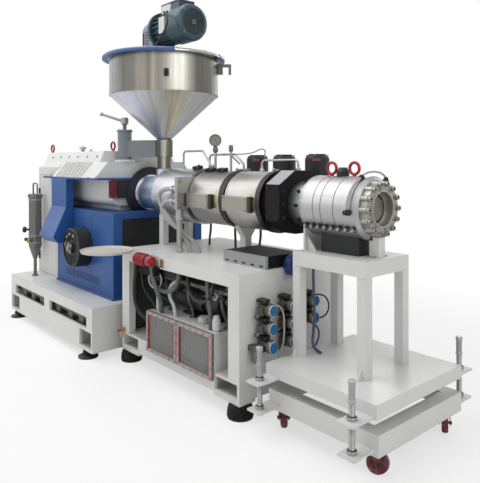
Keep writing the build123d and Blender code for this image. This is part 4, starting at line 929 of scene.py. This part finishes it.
def dressCabinet():
    w, h = cabinet["panel"]
    back = plate((w, h, 5, 5, 1), endWay, (cabinet["front"], 0, cabinet["panelZ"]))
    blade = plate((w - 50, 11, 4, 3, 1), (1, 0, 0.45), (cabinet["front"] + 5, 0, 0))
    blades = copies(blade, [(0, 0, z) for z in np.linspace(735, 910, 11)])
    piece("vent_panel", [back, blades], blackPaint)
    slits = [plate((600, 6, 1, 2.8, 0.3), nearWay, (cabinet["louvreX"], cabinet["face"], z))
             for z in cabinet["louvreZ"]]
    seams = [turned(border(w, h, 2.2, 0.7, 8), nearWay, at) for w, h, at in
             ((330, 540, (1290, cabinet["face"], 670)), (306, 540, (662, cabinet["face"], 640)))]
    lines = joined(*slits, *seams)
    piece("cabinet_seams", [lines, mirrored(lines)], darkBlue)
    latch = joined(plate((26, 70, 8, 6, 2), nearWay, (1150, cabinet["face"], 690)),
                   spun([(11, 0), (11, 6), (8, 9)], 20, nearWay, (1150, cabinet["face"] - 8, 706)))
    piece("cabinet_latch", [latch, mirrored(latch)], blackPlastic)
    at = (motor["x"], motor["front"], motor["z"])
    r = motor["radius"]
    rim = spun([(r - 14, 0), (r + 1, 0), (r + 1, 5), (r - 4, 9), (r - 14, 9)], 72, nearWay, at, True)
    spokes = [turned(arcBar([(62, 0.2), (62, 5), (126, 5), (126, 0.2)], a, a + 0.12, 5), nearWay, at)
              for a in np.arange(18) * np.pi / 9]
    piece("motor_front", [rim, *spokes], blackPaint)
    hubAt = (motor["x"], motor["front"] - 18, motor["z"])
    hub = spun([(30, 0), (30, 7), (20, 9), (20, 20), (12, 24)], 28, nearWay, hubAt)
    nuts = rows(hexHead(8, 8), nearWay, ringPlaces(4, 37, nearWay, hubAt, 0.6))
    clips = [plate((34, 16, 9, 3, 1), nearWay, (motor["x"] + x, motor["front"] - 4, motor["z"] + z), s)
             for x, z, s in ((-70, 78, 0.6), (-20, 104, 0.15), (48, 92, -0.45), (-96, 22, 1.3))]
    piece("motor_fittings", [hub, nuts, *clips], boltSteel)
    print("cabinet dressed")


dressCabinet()

# rear cover: door seam, hinges and grip; oil filter: bands, knob and valve
filterLook = {"x": 205, "y": -470, "radius": 53, "top": 1063, "bandZ": (640, 700, 1012), "knobZ": 757,
              "nutZ": 672, "valveZ": 668}


def dressRear():
    seam = turned(border(352, 860, 2.4, 0.7, 10), nearWay, (290, -390, 806))
    hinges = [spun([(7, -34), (7, 34)], 14, upWay, (112, -397, z)) for z in (520, 1080)]
    grip = plate((22, 110, 14, 8, 3), nearWay, (440, -390, 830))
    piece("rear_door_seam", [seam, mirrored(seam)], hollowShadeAndSeams)
    piece("rear_door_fittings", [*hinges, grip, *[mirrored(s) for s in (*hinges, grip)]], blackPlastic)
    x, y, r = filterLook["x"], filterLook["y"], filterLook["radius"]
    bands = [spun([(r + 0.2, 0), (r + 4, 1), (r + 4, 13), (r + 0.2, 14)], 48, upWay, (x, y, z), True)
             for z in filterLook["bandZ"]]
    lid = rows(hexHead(8, 8), upWay, ringPlaces(6, 50, upWay, (x, y, filterLook["top"]), 0.3))
    piece("filter_bands", [*bands, lid], boltSteel)
    side = np.array([-0.55, -0.83, 0])
    knob = spun([(9, 0), (9, 22), (22, 24), (26, 30), (26, 44), (20, 50)], 24, side,
                np.array([x, y, filterLook["knobZ"]]) + side * r)
    nut = spun([(12, 0), (12, 14), (16, 16), (16, 34), (10, 38)], 6, side,
               np.array([x, y, filterLook["nutZ"]]) + side * r)
    piece("filter_knob", [knob, nut], blackPlastic)
    z = filterLook["valveZ"]
    valve = spun([(14, 0), (14, 26), (19, 28), (19, 44), (14, 46)], 6, (0.55, -0.83, 0), (x + 28, y - 43, z))
    handle = plate((52, 11, 4, 5, 1), nearWay, (x + 58, y - 84, z), 0.4)
    piece("filter_valve", [valve, handle], brass)
    print("rear cover and filter dressed")


dressRear()

# hopper: welds, catch, lid bolts, edge film, hook; mixer motor: grille, plates, terminal box, lead
hopper = {"x": 1531, "radius": 402, "low": 1835, "lid": 2116, "film": ((-150, -24), (28, 75)),
          "hookAngle": 49}
mixer = {"reducerNear": -87.8, "z": 2322, "end": 1906, "boxTop": 2488, "box": (1596, 1822)}


def dressHopper():
    x, r = hopper["x"], hopper["radius"]
    bead = lathe([(r + 0.2, -4), (r + 2.2, -1.5), (r + 2.2, 1.5), (r + 0.2, 4)], 96, True)
    weld = turned(bead, upWay, (x, 0, hopper["low"]))
    angle = math.radians(-128)
    out = np.array([math.cos(angle), math.sin(angle), 0])
    seam = plate((7, 256, 1.2, 1.3, 0.5), out, np.array([x, 0, 1966]) + out * (r - 0.3))
    neckRing = spun([(50.2, 0), (56, 1), (56, 13), (50.2, 14)], 48, upWay, (x, 0, 1496), True)
    piece("hopper_welds", [weld, seam, neckRing], hopperReflectionSheet, "feeder")
    hooked = math.radians(-31)
    out = np.array([math.cos(hooked), math.sin(hooked), 0])
    at = np.array([x, 0, 1952]) + out * (r - 1)
    base = plate((34, 52, 6, 4, 1.5), out, at)
    pin = spun([(7, 0), (7, 34), (11, 36), (11, 44)], 16, out, at + (0, 0, 12))
    tongue = plate((14, 40, 6, 3, 1), out, at + out * 30 + (0, 0, -6))
    piece("hopper_catch", [base, pin, tongue], darkBolt, "feeder")
    bolts = copies(hexHead(9, 8), ringPlaces(12, 428, upWay, (x, 0, hopper["lid"]), 0.15))
    foot = copies(hexHead(9, 9), ringPlaces(6, 96, upWay, (x, 0, 2132), 0.52))
    piece("lid_bolts", [bolts, foot], boltSteel, "feeder")
    edge = [(410, -21.2), (453.6, -21.2), (453.6, -6), (443, 3.5), (441, 1), (451, -7), (451, -20.2),
            (410, -20.2)]
    films = [turned(arcBar(edge, math.radians(first) - math.pi / 2, math.radians(last) - math.pi / 2, 48),
                    upWay, (x, 0, hopper["lid"]), math.pi) for first, last in hopper["film"]]
    piece("lid_edge_film", films, blueFilm, "feeder")
    # the sleeve carries the neck's painted reflection bands
    sleeve = lathe([(62.4, 1382), (63.4, 1383), (63.4, 1508), (62.4, 1509)], 64, True)
    piece("neck_sleeve", turned(sleeve, upWay, (x, 0, 0)), neckReflectionSheet, "feeder")
    turn = math.radians(hopper["hookAngle"])
    out = np.array([math.cos(turn), math.sin(turn), 0])
    across = np.array([-out[1], out[0], 0])
    for tag, start, end, low, high in (("arm", 437, 501.5, 2054, 2073.5), ("tip", 482, 501.5, 1998.5, 2057),
                                       ("root", 403, 439.5, 1998.5, 2073.5)):
        middle = np.array([x, 0, (low + high) / 2]) + out * (start + end) / 2 - across * 15.6
        piece("hook_" + tag, plate((end - start, high - low, 31.2, 2, 1), across, middle), hookOlive,
              "feeder")
    grip = [(x + 190, 255, 2116), (x + 190, 255, 2150), (x + 150, 285, 2166), (x + 60, 345, 2166),
            (x + 20, 372, 2150), (x + 20, 372, 2116)]
    piece("lid_grip", pipe(bent(grip), 7, 12), steel, "feeder")
    print("hopper dressed")


dressHopper()


def dressMixer():
    z, end = mixer["z"], mixer["end"]
    disc = spun([(92, -6), (92, -2), (86, -1), (8, -1)], 64, endWay, (end, 0, z))
    rings = [spun([(r, -3), (r + 2.5, -3), (r + 2.5, 1), (r, 1)], 64, endWay, (end, 0, z), True)
             for r in (26, 40, 54, 68, 82)]
    bars = [turned(arcBar([(20, -2), (20, 1.4), (90, 1.4), (90, -2)], a, a + 0.05, 3), endWay, (end, 0, z))
            for a in np.arange(8) * np.pi / 4 + 0.2]
    piece("mixer_grille", [disc, *rings, *bars], grilleGreen, "feeder")
    near = mixer["reducerNear"]
    # dark ticks and column: painted shade between the reducer's ribs
    ticks = copies(plate((46, 7, 2, 3, 0.6), nearWay, (1432, near, 0)),
                   [(0, 0, h) for h in range(2156, 2320, 20)])
    column = plate((22, 176, 2, 4, 0.6), nearWay, (1380, near, 2230))
    piece("reducer_slots", [ticks, column], hollowShadeAndSeams, "feeder")
    hub = turned(border(26, 26, 4, 6, 2), endWay, (end - 2, 0, z))
    screws = rows(capScrew(5, 5), endWay, ringPlaces(4, 112, endWay, (end - 4, 0, z), 0.78))
    piece("mixer_hub_plate", [hub, screws], boltSteel, "feeder")
    x0, x1 = mixer["box"]
    middle = (x0 + x1) / 2
    lid = plate((140, x1 - x0 + 8, 12, 8, 3), upWay, (middle, 0, mixer["boxTop"] - 9))
    piece("terminal_box_lid", lid, tealPaint, "feeder")
    seal = turned(border(141, x1 - x0 + 9, 6, 2, 8), upWay, (middle, 0, mixer["boxTop"] - 4))
    piece("terminal_box_seal", seal, redSeal, "feeder")
    badge = plate((74, 116, 2.5, 5, 0.8), nearWay, (1684, -121, 2322))
    label = plate((112, 66, 1.2, 3, 0.4), nearWay, (1660, -66.4, 2448))
    piece("motor_blank_plates", [badge, label], paleLabel, "feeder")
    gland = spun([(15, 0), (15, 9), (12, 10), (12, 26), (9, 30)], 6, (0, -1, -0.2), (1676, -66, 2420))
    corners = [(a, b, mixer["boxTop"] + 3) for a in (x0 + 10, x1 - 10) for b in (-56, 56)]
    heads = rows(capScrew(5, 4), upWay, corners)
    piece("terminal_box_gland", [gland, heads], blackPlastic, "feeder")
    hose("mixer_lead", [(1676, -90, 2416), (1704, -126, 2410), (1792, -152, 2384), (1838, -170, 2316),
                        (1834, -194, 2240), (1776, -202, 2184), (1690, -192, 2150), (1610, -184, 2132),
                        (1564, -178, 2124), (1540, -150, 2123)], 7, rubber, "feeder")
    print("mixer motor dressed")


dressMixer()

# crane: base bolts, cap screws, clamp screws and lever grip
crane = {"x": 1240, "y": -170, "bossTop": 1362, "capTop": 1590, "leverAngle": 229, "leverReach": 177,
         "leverRise": 52, "leverZ": 1660}


def dressCrane():
    low = copies(hexHead(8, 8), ringPlaces(6, 66, upWay, (crane["x"], crane["y"], crane["bossTop"]), 0.4))
    piece("crane_base_bolts", low, boltSteel)
    high = copies(capScrew(6, 5), ringPlaces(6, 46, upWay, (crane["x"], crane["y"], crane["capTop"]), 0.2))
    sides = rows(hexHead(8, 8), (0.5, 0.86, 0), [(1490, 52, z) for z in (1410, 1480)])
    piece("crane_cap_screws", [high, sides], boltSteel, "feeder")
    turn = math.radians(crane["leverAngle"])
    out = np.array([math.cos(turn), math.sin(turn), 0])
    hub = np.array([crane["x"], crane["y"], crane["leverZ"]])
    knobAt = hub + out * crane["leverReach"] + (0, 0, crane["leverRise"])
    rod = pipe(np.linspace(hub + out * 24 + (0, 0, 1), knobAt, 6), 10.5, 18)
    collar = lathe([(27.3, -18), (30, -16), (30, 16), (27.3, 18)], 40, True)
    grip = joined(rod, turned(collar, upWay, hub))
    piece("lever_grip", grip, steel, "lever")
    print("crane dressed")


dressCrane()

# barrel: shroud straps, cover lids, pale strips, bolts, clamps, leads and hoses
barrel = {"shrouds": ((2083, 2405), (2450, 2735)), "radius": 175, "covers": ((2095, 2320), (2462, 2687)),
          "coverFace": -198, "coverZ": 1097, "flange": (2055, 2083), "block": (2835, 2940), "neckX": 3000,
          "neckR": 125}
# tag, place along the barrel, lean and sleeve of each lead; tag, height, turn and foot of each hose
heaterLeads = (("a", 1930, 14, rubber), ("b", 2215, -16, rubber), ("c", 2448, 12, violetLead))
coolingHoses = (("a", 1165, 1842, 2115, -180), ("b", 1085, 1880, 2165, -146))
hoseBend = {"stubX": 1985, "stubY": -235, "deck": 757}


def dressBarrel():
    r = barrel["radius"]
    straps, lids, screws, gaps = [], [], [], []
    for x0, x1 in barrel["shrouds"]:
        for x in (x0 + 10, x1 - 22):
            straps.append(spun([(r + 0.2, 0), (r + 2.4, 0.5), (r + 2.4, 11.5), (r + 0.2, 12)], 96, endWay,
                               (x, 0, axisZ), True))
            screws.append(spun([(5, -24), (5, 24)], 12, (0, 1, 0), (x + 6, 0, axisZ + r + 9)))
            screws.append(turned(hexHead(9, 9), nearWay, (x + 6, -14, axisZ + r + 9)))
    y, z = barrel["coverFace"], barrel["coverZ"]
    for x0, x1 in barrel["covers"]:
        lids.append(plate((x1 - x0 - 6, 84, 3, 4, 1), nearWay, ((x0 + x1) / 2 - 2, y, z)))
        corners = [(x, y - 3, z + h) for x in (x0 + 12, x1 - 16) for h in (-33, 33)]
        screws.append(rows(capScrew(5, 4), nearWay, corners))
        gaps.append(plate((26, 92, 24, 3, 1), nearWay, (x1 + 13, y + 24, z)))
    piece("shroud_straps", straps, shroudSheet)
    piece("cover_lids", lids, coverSheet)
    piece("barrel_screws", screws, boltSteel)
    piece("cover_end_gaps", gaps, oliveShade)
    strips = []
    for x, w, low, high in ((2362, 36, -0.24, 0.38), (2682, 42, -0.2, 0.3)):
        bar = arcBar([(r + 0.3, 0), (r + 2.2, 0), (r + 2.2, w), (r + 0.3, w)], -math.pi / 2 - high,
                     -math.pi / 2 - low, 24)
        strips.append((np.stack([bar[0][:, 2] + x, bar[0][:, 1], -bar[0][:, 0] + axisZ], -1), bar[1]))
    piece("pale_strips", strips, tanStrip)
    clamps = [plate((46, 30, 22, 5, 2), (0, -0.2, 1), (x, -36, axisZ + top - 4)) for x, top in
              ((1985, 188), (2022, 188), (2122, 175), (2170, 175), (2245, 175), (2290, 175))]
    piece("barrel_top_clamps", clamps, blackPaint)
    face = barrel["flange"]
    nuts = [rows(hexHead(11, 10), (s, 0, 0), [(face[0] if s < 0 else face[1], y, z) for y in (-236, 236)
                                              for z in (1060, 1140, 1220)]) for s in (-1, 1)]
    ring = rows(hexHead(10, 10), (-1, 0, 0), ringPlaces(10, 214, endWay, (face[0], 0, axisZ))[1:5])
    piece("flange_bolts", [*nuts, ring], boltSteel)
    x0, x1 = barrel["block"]
    bevel = plate((x1 - x0 - 2, 142, 2.5, 2, 0.8), (0, -0.5226, 0.8526), ((x0 + x1) / 2, -128, 1255))
    piece("block_bevel_plate", bevel, plainPlate)
    heads = rows(capScrew(11, 12), endWay, [(x1, y, z) for y in (-160, 160) for z in (1040, 1110, 1180)])
    side = rows(capScrew(7, 6), nearWay, [(x, -190, z) for x in (x0 + 16, x1 - 16) for z in (1040, 1200)])
    rear = rows(hexHead(10, 9), (-1, 0, 0), [(x0, -172, z) for z in (1150, 1180, 1120)])
    piece("block_screws", [heads, side, rear], darkBolt)
    neck = []
    for a in np.arange(10) * 0.628 + 0.3:
        out = np.array([0, math.sin(a), math.cos(a)])
        neck.append(turned(capScrew(10, 9), out, out * barrel["neckR"] + (barrel["neckX"], 0, axisZ)))
    piece("neck_screws", neck, darkBolt)
    print("barrel dressed")


dressBarrel()


def dressLines():
    deck = hoseBend["deck"]
    for tag, x, lean, material in heaterLeads:
        hose("heater_lead_" + tag, [(x, 120, deck), (x, 120, deck + 50), (x + lean, 128, deck + 140),
                                    (x, 118, 1050)], 8, material,
             replaces=("heater_leads",) if tag == "a" else ())
    for tag, z, left, end, y in coolingHoses:
        x, side = hoseBend["stubX"], hoseBend["stubY"]
        hose("cooling_hose_" + tag, [(x, side, z), (left, side, z), (left - 8, side - 12, z - 110),
                                     (end, y, deck + 60), (end, y, deck)], 15, greyHose,
             replaces=("cooling_hoses",) if tag == "a" else ())
        nut = lathe([(17.2, 0), (23, 2), (23, 22), (17.2, 24)], 8)
        piece("hose_nut_" + tag, [turned(nut, endWay, (x + 4, side, z)),
                                  turned(nut, endWay, (2028, side, z))], zinc)
    fit = spun([(26.2, 0), (29, 2), (29, 20), (26.2, 22)], 8, upWay, (2069, -234, 968))
    low = spun([(18.2, 0), (25, 2), (25, 26), (18.2, 28)], 8, upWay, (2069, -234, 758))
    piece("drain_nuts", [fit, low], zinc)
    print("leads and hoses run")


dressLines()

# pipes over the barrel: gauge face, valve, elbows and the thin line to the first blower
gaugeLook = {"at": (2149, 0, 1486), "way": (0.7547, -0.6561, 0), "depth": 15}


def dressGauge():
    way = np.array(gaugeLook["way"])
    at = np.array(gaugeLook["at"]) + way * gaugeLook["depth"]
    bezel = spun([(34, 0), (41, 0), (41, 3), (38, 6), (34, 3)], 48, way, at, True)
    stem = spun([(9.2, 0), (15, 4), (18, 16), (18, 26), (15, 38), (9.2, 42)], 24, upWay, (2149, 0, 1404))
    piece("gauge_bezel", [bezel, stem], pewter)
    piece("gauge_face", spun([(35, 0), (35, 1.4), (3, 1.5)], 48, way, at), gaugePaper)
    marks = [plate((2.2, 8, 0.6, 0.5, 0.1), way, spot, a + math.pi / 2) for a, spot in
             zip(np.arange(12) * math.pi / 6, ringPlaces(12, 27, way, at + way * 1.5))]
    needle = plate((3, 40, 0.8, 1, 0.2), way, at + way * 1.8, 0.7)
    piece("gauge_marks", [*marks, needle], blackPlastic)
    grip = spun([(11.2, 0), (14, 3), (14, 34), (11, 40)], 20, upWay, (2346, -30, 1408))
    arm = pipe(np.linspace((2346, -30, 1386), (2412, -14, 1330), 6), 5, 10)
    piece("valve_grip", [grip, arm], pewter)
    ferrules = []
    for x, y in ((1784, 0), (2109, 0), (2030, 45), (2385, 45), (2602, 0), (2149, 0)):
        top = axisZ + (188 if x < 2055 else 175)
        ferrules.append(spun([(7.2, 0), (15, 0), (15, 12), (10, 16), (10, 26), (7.2, 27)], 6, upWay,
                             (x, y, axisZ + math.sqrt((top - axisZ) ** 2 - y ** 2) - 2)))
    ferrules.append(spun([(7.2, 0), (15, 0), (15, 12), (10, 16)], 6, upWay, (2900, 0, 1293)))
    piece("pipe_ferrules", ferrules, zinc)
    hose("blower_line", [(2346, -30, 1390), (2352, 60, 1392), (2358, 150, 1402), (2362, 215, 1432),
                         (2352, 262, 1424), (2338, 276, 1396), (2330, 276, 1372)], 4, greyHose)
    print("gauge and pipes dressed")


dressGauge()

# blowers: stickers, ribs, screws
blower = {"x": (2263, 2518, 2798), "y": 276, "top": 1388}


def dressBlowers():
    patches, caps, ribs = [], [], []
    for x in blower["x"]:
        y, top = blower["y"], blower["top"]
        at = (x, y, 0)
        sticker = arcBar([(74.3, 1348), (74.9, 1348), (74.9, 1363), (74.3, 1363)], -1.25, -0.6, 12)
        patches.append(turned(sticker, upWay, at, math.pi / 2))
        ribs.append(copies(lathe([(20, 0), (56, 0), (56, 2), (20, 2)], 40, True), [(x, y, top)]))
        caps.append(rows(capScrew(6, 5), upWay, ringPlaces(4, 66, upWay, (x, y, top - 8), 0.5)))
        slots = [turned(arcBar([(74.2, z), (75.6, z), (75.6, z + 5), (74.2, z + 5)], -2.9, 0.4, 32), upWay,
                        at, math.pi / 2) for z in (1240, 1254, 1268, 1282)]
        ribs += slots
        ribs.append(plate((56, 40, 24, 5, 2), nearWay, (x - 66, y - 70, 1225)))
    piece("blower_stickers", patches, stickerRed)
    piece("blower_ribs", ribs, blackPlastic)
    piece("blower_screws", caps, boltSteel)
    print("blowers dressed")


dressBlowers()

# stand top: wiring channel, drum on the end; end panel: valve units with caps, coils and small lines
channel = {"x": (2506, 2872), "y": -221, "deck": 757, "tall": 70}
units = {"face": 2974, "places": [(-270, 564), (-270, 469), (-270, 374), (-112, 564), (-112, 469),
                                  (-112, 374), (60, 564), (60, 469)]}


def dressStandTop():
    x0, x1 = channel["x"]
    middle, z = (x0 + x1) / 2, channel["deck"] + channel["tall"] / 2
    wall = plate((x1 - x0, channel["tall"], 5, 3, 1), nearWay, (middle, channel["y"] + 5, z))
    top = channel["deck"] + channel["tall"]
    lip = plate((10, x1 - x0, 3, 2, 0.8), upWay, (middle, channel["y"] + 3, top - 3))
    end = plate((16, channel["tall"], 4, 3, 1), endWay, (x1 - 4, channel["y"] + 6, z))
    piece("wiring_channel", [wall, lip, end], channelGrey)
    # slots in the channel drawn as thin plates in painted shade
    holes = [plate((30, 9, 1, 4, 0.3), nearWay, (x, channel["y"], channel["deck"] + 14))
             for x in np.linspace(x0 + 36, x1 - 40, 5)]
    piece("channel_slots", holes, hollowShadeAndSeams)
    cover = plate((270, 360, 67, 6, 2), upWay, (2684, -78, channel["deck"] + 1))
    piece("cable_box_cover", cover, blockBlack, replaces=("cable_box",))
    drum = spun([(58, 0), (60, 4), (60, 40), (55, 46), (32, 48), (32, 52)], 48, endWay, (2882.5, -44, 768))
    piece("end_drum", drum, drumBlue)
    pad = plate((110, 60, 6, 4, 1), endWay, (2882.2, -44, 722))
    piece("end_drum_bracket", pad, zinc)
    print("stand top dressed")


dressStandTop()

# name, way and sleeve of the small lines between the valve units
unitRoutes = [("unit_line_a", [(2966, -244, 590), (2984, -224, 584), (2992, -208, 540),
                               (2992, -204, 470), (2990, -208, 390), (2976, -220, 320),
                               (2940, -232, 284), (2886, -238, 270)], greyHose),
              ("unit_line_b", [(2966, 72, 596), (2984, 112, 598), (2994, 152, 552), (2994, 150, 494),
                               (2982, 112, 462), (2964, 88, 462)], rubber),
              ("unit_line_c", [(2962, -112, 434), (2990, -100, 420), (2996, -84, 370), (2984, -76, 310),
                               (2940, -76, 272), (2886, -76, 262)], greyHose),
              ("unit_line_d", [(2962, 60, 434), (2994, 66, 418), (3000, 62, 364), (2980, 46, 310),
                               (2936, 30, 282), (2886, 24, 272)], rubber)]


def dressUnits():
    x = units["face"]
    discs, rims, coils, bodies = [], [], [], []
    for y, z in units["places"]:
        discs.append(spun([(27, 0), (27, 7), (24, 10), (10, 11)], 32, endWay, (x, y, z)))
        rims.append(spun([(27.4, 0), (32, 0), (32, 5), (27.4, 6)], 32, endWay, (x, y, z), True))
        coils.append(plate((44, 17, 60, 3, 1), endWay, (2890, y - 18, z + 47), 0.12))
        bodies.append(plate((30, 44, 34, 4, 2), endWay, (2904, y - 34, z - 6)))
        bodies.append(spun([(9, 0), (9, 22), (13, 24), (13, 40)], 6, (0, -1, -0.3), (2920, y - 36, z - 20)))
        bodies.append(spun([(36.2, 20), (39, 24), (39, 34), (36.2, 38)], 32, endWay, (2882, y, z)))
    piece("unit_caps", discs, capBlue)
    piece("unit_cap_rims", rims, chrome)
    piece("unit_coils", coils, blackPlastic)
    piece("unit_bodies", bodies, pewter)
    cup = joined(spun([(18, 0), (18, 6), (25, 8), (25, 54), (16, 60), (16, 84), (12, 88)], 28, upWay,
                      (2930, -345, 300)), plate((40, 30, 48, 4, 1), endWay, (2882, -345, 372)))
    piece("line_filter_cup", cup, pewter)
    for name, points, material in unitRoutes:
        hose(name, points, 4.5, material)
    hose("table_lead", [(3024, -6, 806), (3016, -6, 760), (3018, -4, 640), (3020, 0, 520), (3020, -4, 440),
                        (3020, -12, 392), (3030, -26, 358), (3066, -44, 337), (3112, -52, 335)], 8,
         slateLead)
    print("valve units dressed")


dressUnits()

# camera at the photograph's viewpoint
view = {"place": (5044.1, -2286.6, 1330.05), "yaw": 49.157, "lens": 41.325, "shift": -0.16068}


def makeCamera():
    data = bpy.data.cameras.new("photo camera")
    data.sensor_width = 36.0
    data.sensor_fit = "AUTO"
    data.lens = view["lens"]
    data.shift_y = view["shift"]
    data.clip_end = 200.0
    camera = bpy.data.objects.new("photo camera", data)
    x, y, z = view["place"]
    camera.location = ((x - line["midX"]) / 1000, (y - line["midY"]) / 1000, z / 1000)
    camera.rotation_euler = (math.radians(90), 0, math.radians(view["yaw"]))
    bpy.context.scene.collection.objects.link(camera)
    bpy.context.scene.camera = camera


# plain pale floor that fades into the white surround, soft lamps
studio = {"floorHalf": 14.0, "floorTone": 0.93, "fadeFrom": 2.2, "fadeTo": 3.4, "floorGlow": 0.62,
          "worldDiffuse": 0.46, "wallLow": 0.74, "horizon": 0.95}
lamps = [("overhead", (-0.7, -1.2, 4.6), (-0.4, -0.4, 0.5), 4.2, 3.0, 88.0),
         ("key", (5.2, -0.6, 3.4), (0.2, 0.0, 0.8), 3.2, 3.0, 56.0),
         ("left", (-3.8, -3.2, 3.6), (-0.4, -0.2, 0.6), 5.8, 4.4, 72.0),
         ("near fill", (0.6, -5.6, 2.6), (0.2, 0.0, 0.8), 3.0, 2.4, 12.0),
         ("back rim", (-1.0, 4.6, 3.2), (0.2, 0.0, 0.9), 3.0, 2.0, 40.0)]


def makeStudio():
    half = studio["floorHalf"]
    mesh = bpy.data.meshes.new("studio floor")
    mesh.from_pydata([(-half, -half, 0), (half, -half, 0), (half, half, 0), (-half, half, 0)], [],
                     [(0, 1, 2, 3)])
    floor = bpy.data.objects.new("studio floor", mesh)
    bpy.context.scene.collection.objects.link(floor)
    material = bpy.data.materials.new("studio floor")
    material.use_nodes = True
    tree = material.node_tree
    tree.nodes.clear()
    tone = studio["floorTone"]
    matt = add(tree, "BsdfDiffuse", {"Color": (tone, tone, tone, 1)})
    glow = add(tree, "Emission", {"Color": (1, 1, 1, 1), "Strength": 1.0})
    coords = add(tree, "TexCoord")
    distance = add(tree, "VectorMath", {0: coords.outputs["Object"]}, operation="LENGTH").outputs["Value"]
    fade = remap(tree, distance, studio["fadeFrom"], studio["fadeTo"], studio["floorGlow"], 1.0)
    seen = add(tree, "LightPath").outputs["Is Camera Ray"]
    mix = add(tree, "MixShader", {0: times(tree, fade, seen), 1: matt.outputs[0], 2: glow.outputs[0]})
    output = add(tree, "OutputMaterial")
    tree.links.new(mix.outputs[0], output.inputs["Surface"])
    mesh.materials.append(material)
    world = bpy.data.worlds.new("studio white")
    bpy.context.scene.world = world
    world.use_nodes = True
    tree = world.node_tree
    tree.nodes.clear()
    ray = add(tree, "LightPath")
    coords = add(tree, "TexCoord")
    way = add(tree, "SeparateXYZ", {0: coords.outputs["Generated"]})
    around = add(tree, "Math", {0: way.outputs["Y"], 1: way.outputs["X"]}, operation="ARCTAN2").outputs[0]
    panels = add(tree, "TexNoise", {"W": around, "Scale": 1.5, "Detail": 1.0},
                 noise_dimensions="1D").outputs["Fac"]
    walls = remap(tree, panels, 0.36, 0.62, studio["wallLow"], 1.0)
    above = remap(tree, way.outputs["Z"], -0.05, 0.5, studio["horizon"], 1.0)
    shown = add(tree, "Math", {0: ray.outputs["Is Camera Ray"], 1: ray.outputs["Is Transmission Ray"]},
                operation="MAXIMUM").outputs[0]
    plain = remap(tree, shown, 0.0, 1.0, studio["worldDiffuse"], 1.0)
    strength = add(tree, "Mix", {0: ray.outputs["Is Glossy Ray"], 2: plain,
                                 3: times(tree, walls, above)}).outputs[0]
    back = add(tree, "Background", {"Color": (1, 1, 1, 1), "Strength": strength})
    output = add(tree, "OutputWorld")
    tree.links.new(back.outputs[0], output.inputs["Surface"])
    for name, spot, aim, w, h, power in lamps:
        data = bpy.data.lights.new(name, "AREA")
        data.shape = "RECTANGLE"
        data.size, data.size_y, data.energy = w, h, power
        lamp = bpy.data.objects.new(name, data)
        lamp.location = spot
        away = np.array(spot) - np.array(aim)
        flat = math.hypot(away[0], away[1])
        lamp.rotation_euler = (math.atan2(flat, away[2]), 0, math.atan2(away[0], -away[1]))
        bpy.context.scene.collection.objects.link(lamp)


makeCamera()
makeStudio()
bpy.context.scene.view_settings.view_transform = "Standard"
print("camera, floor and lamps placed")
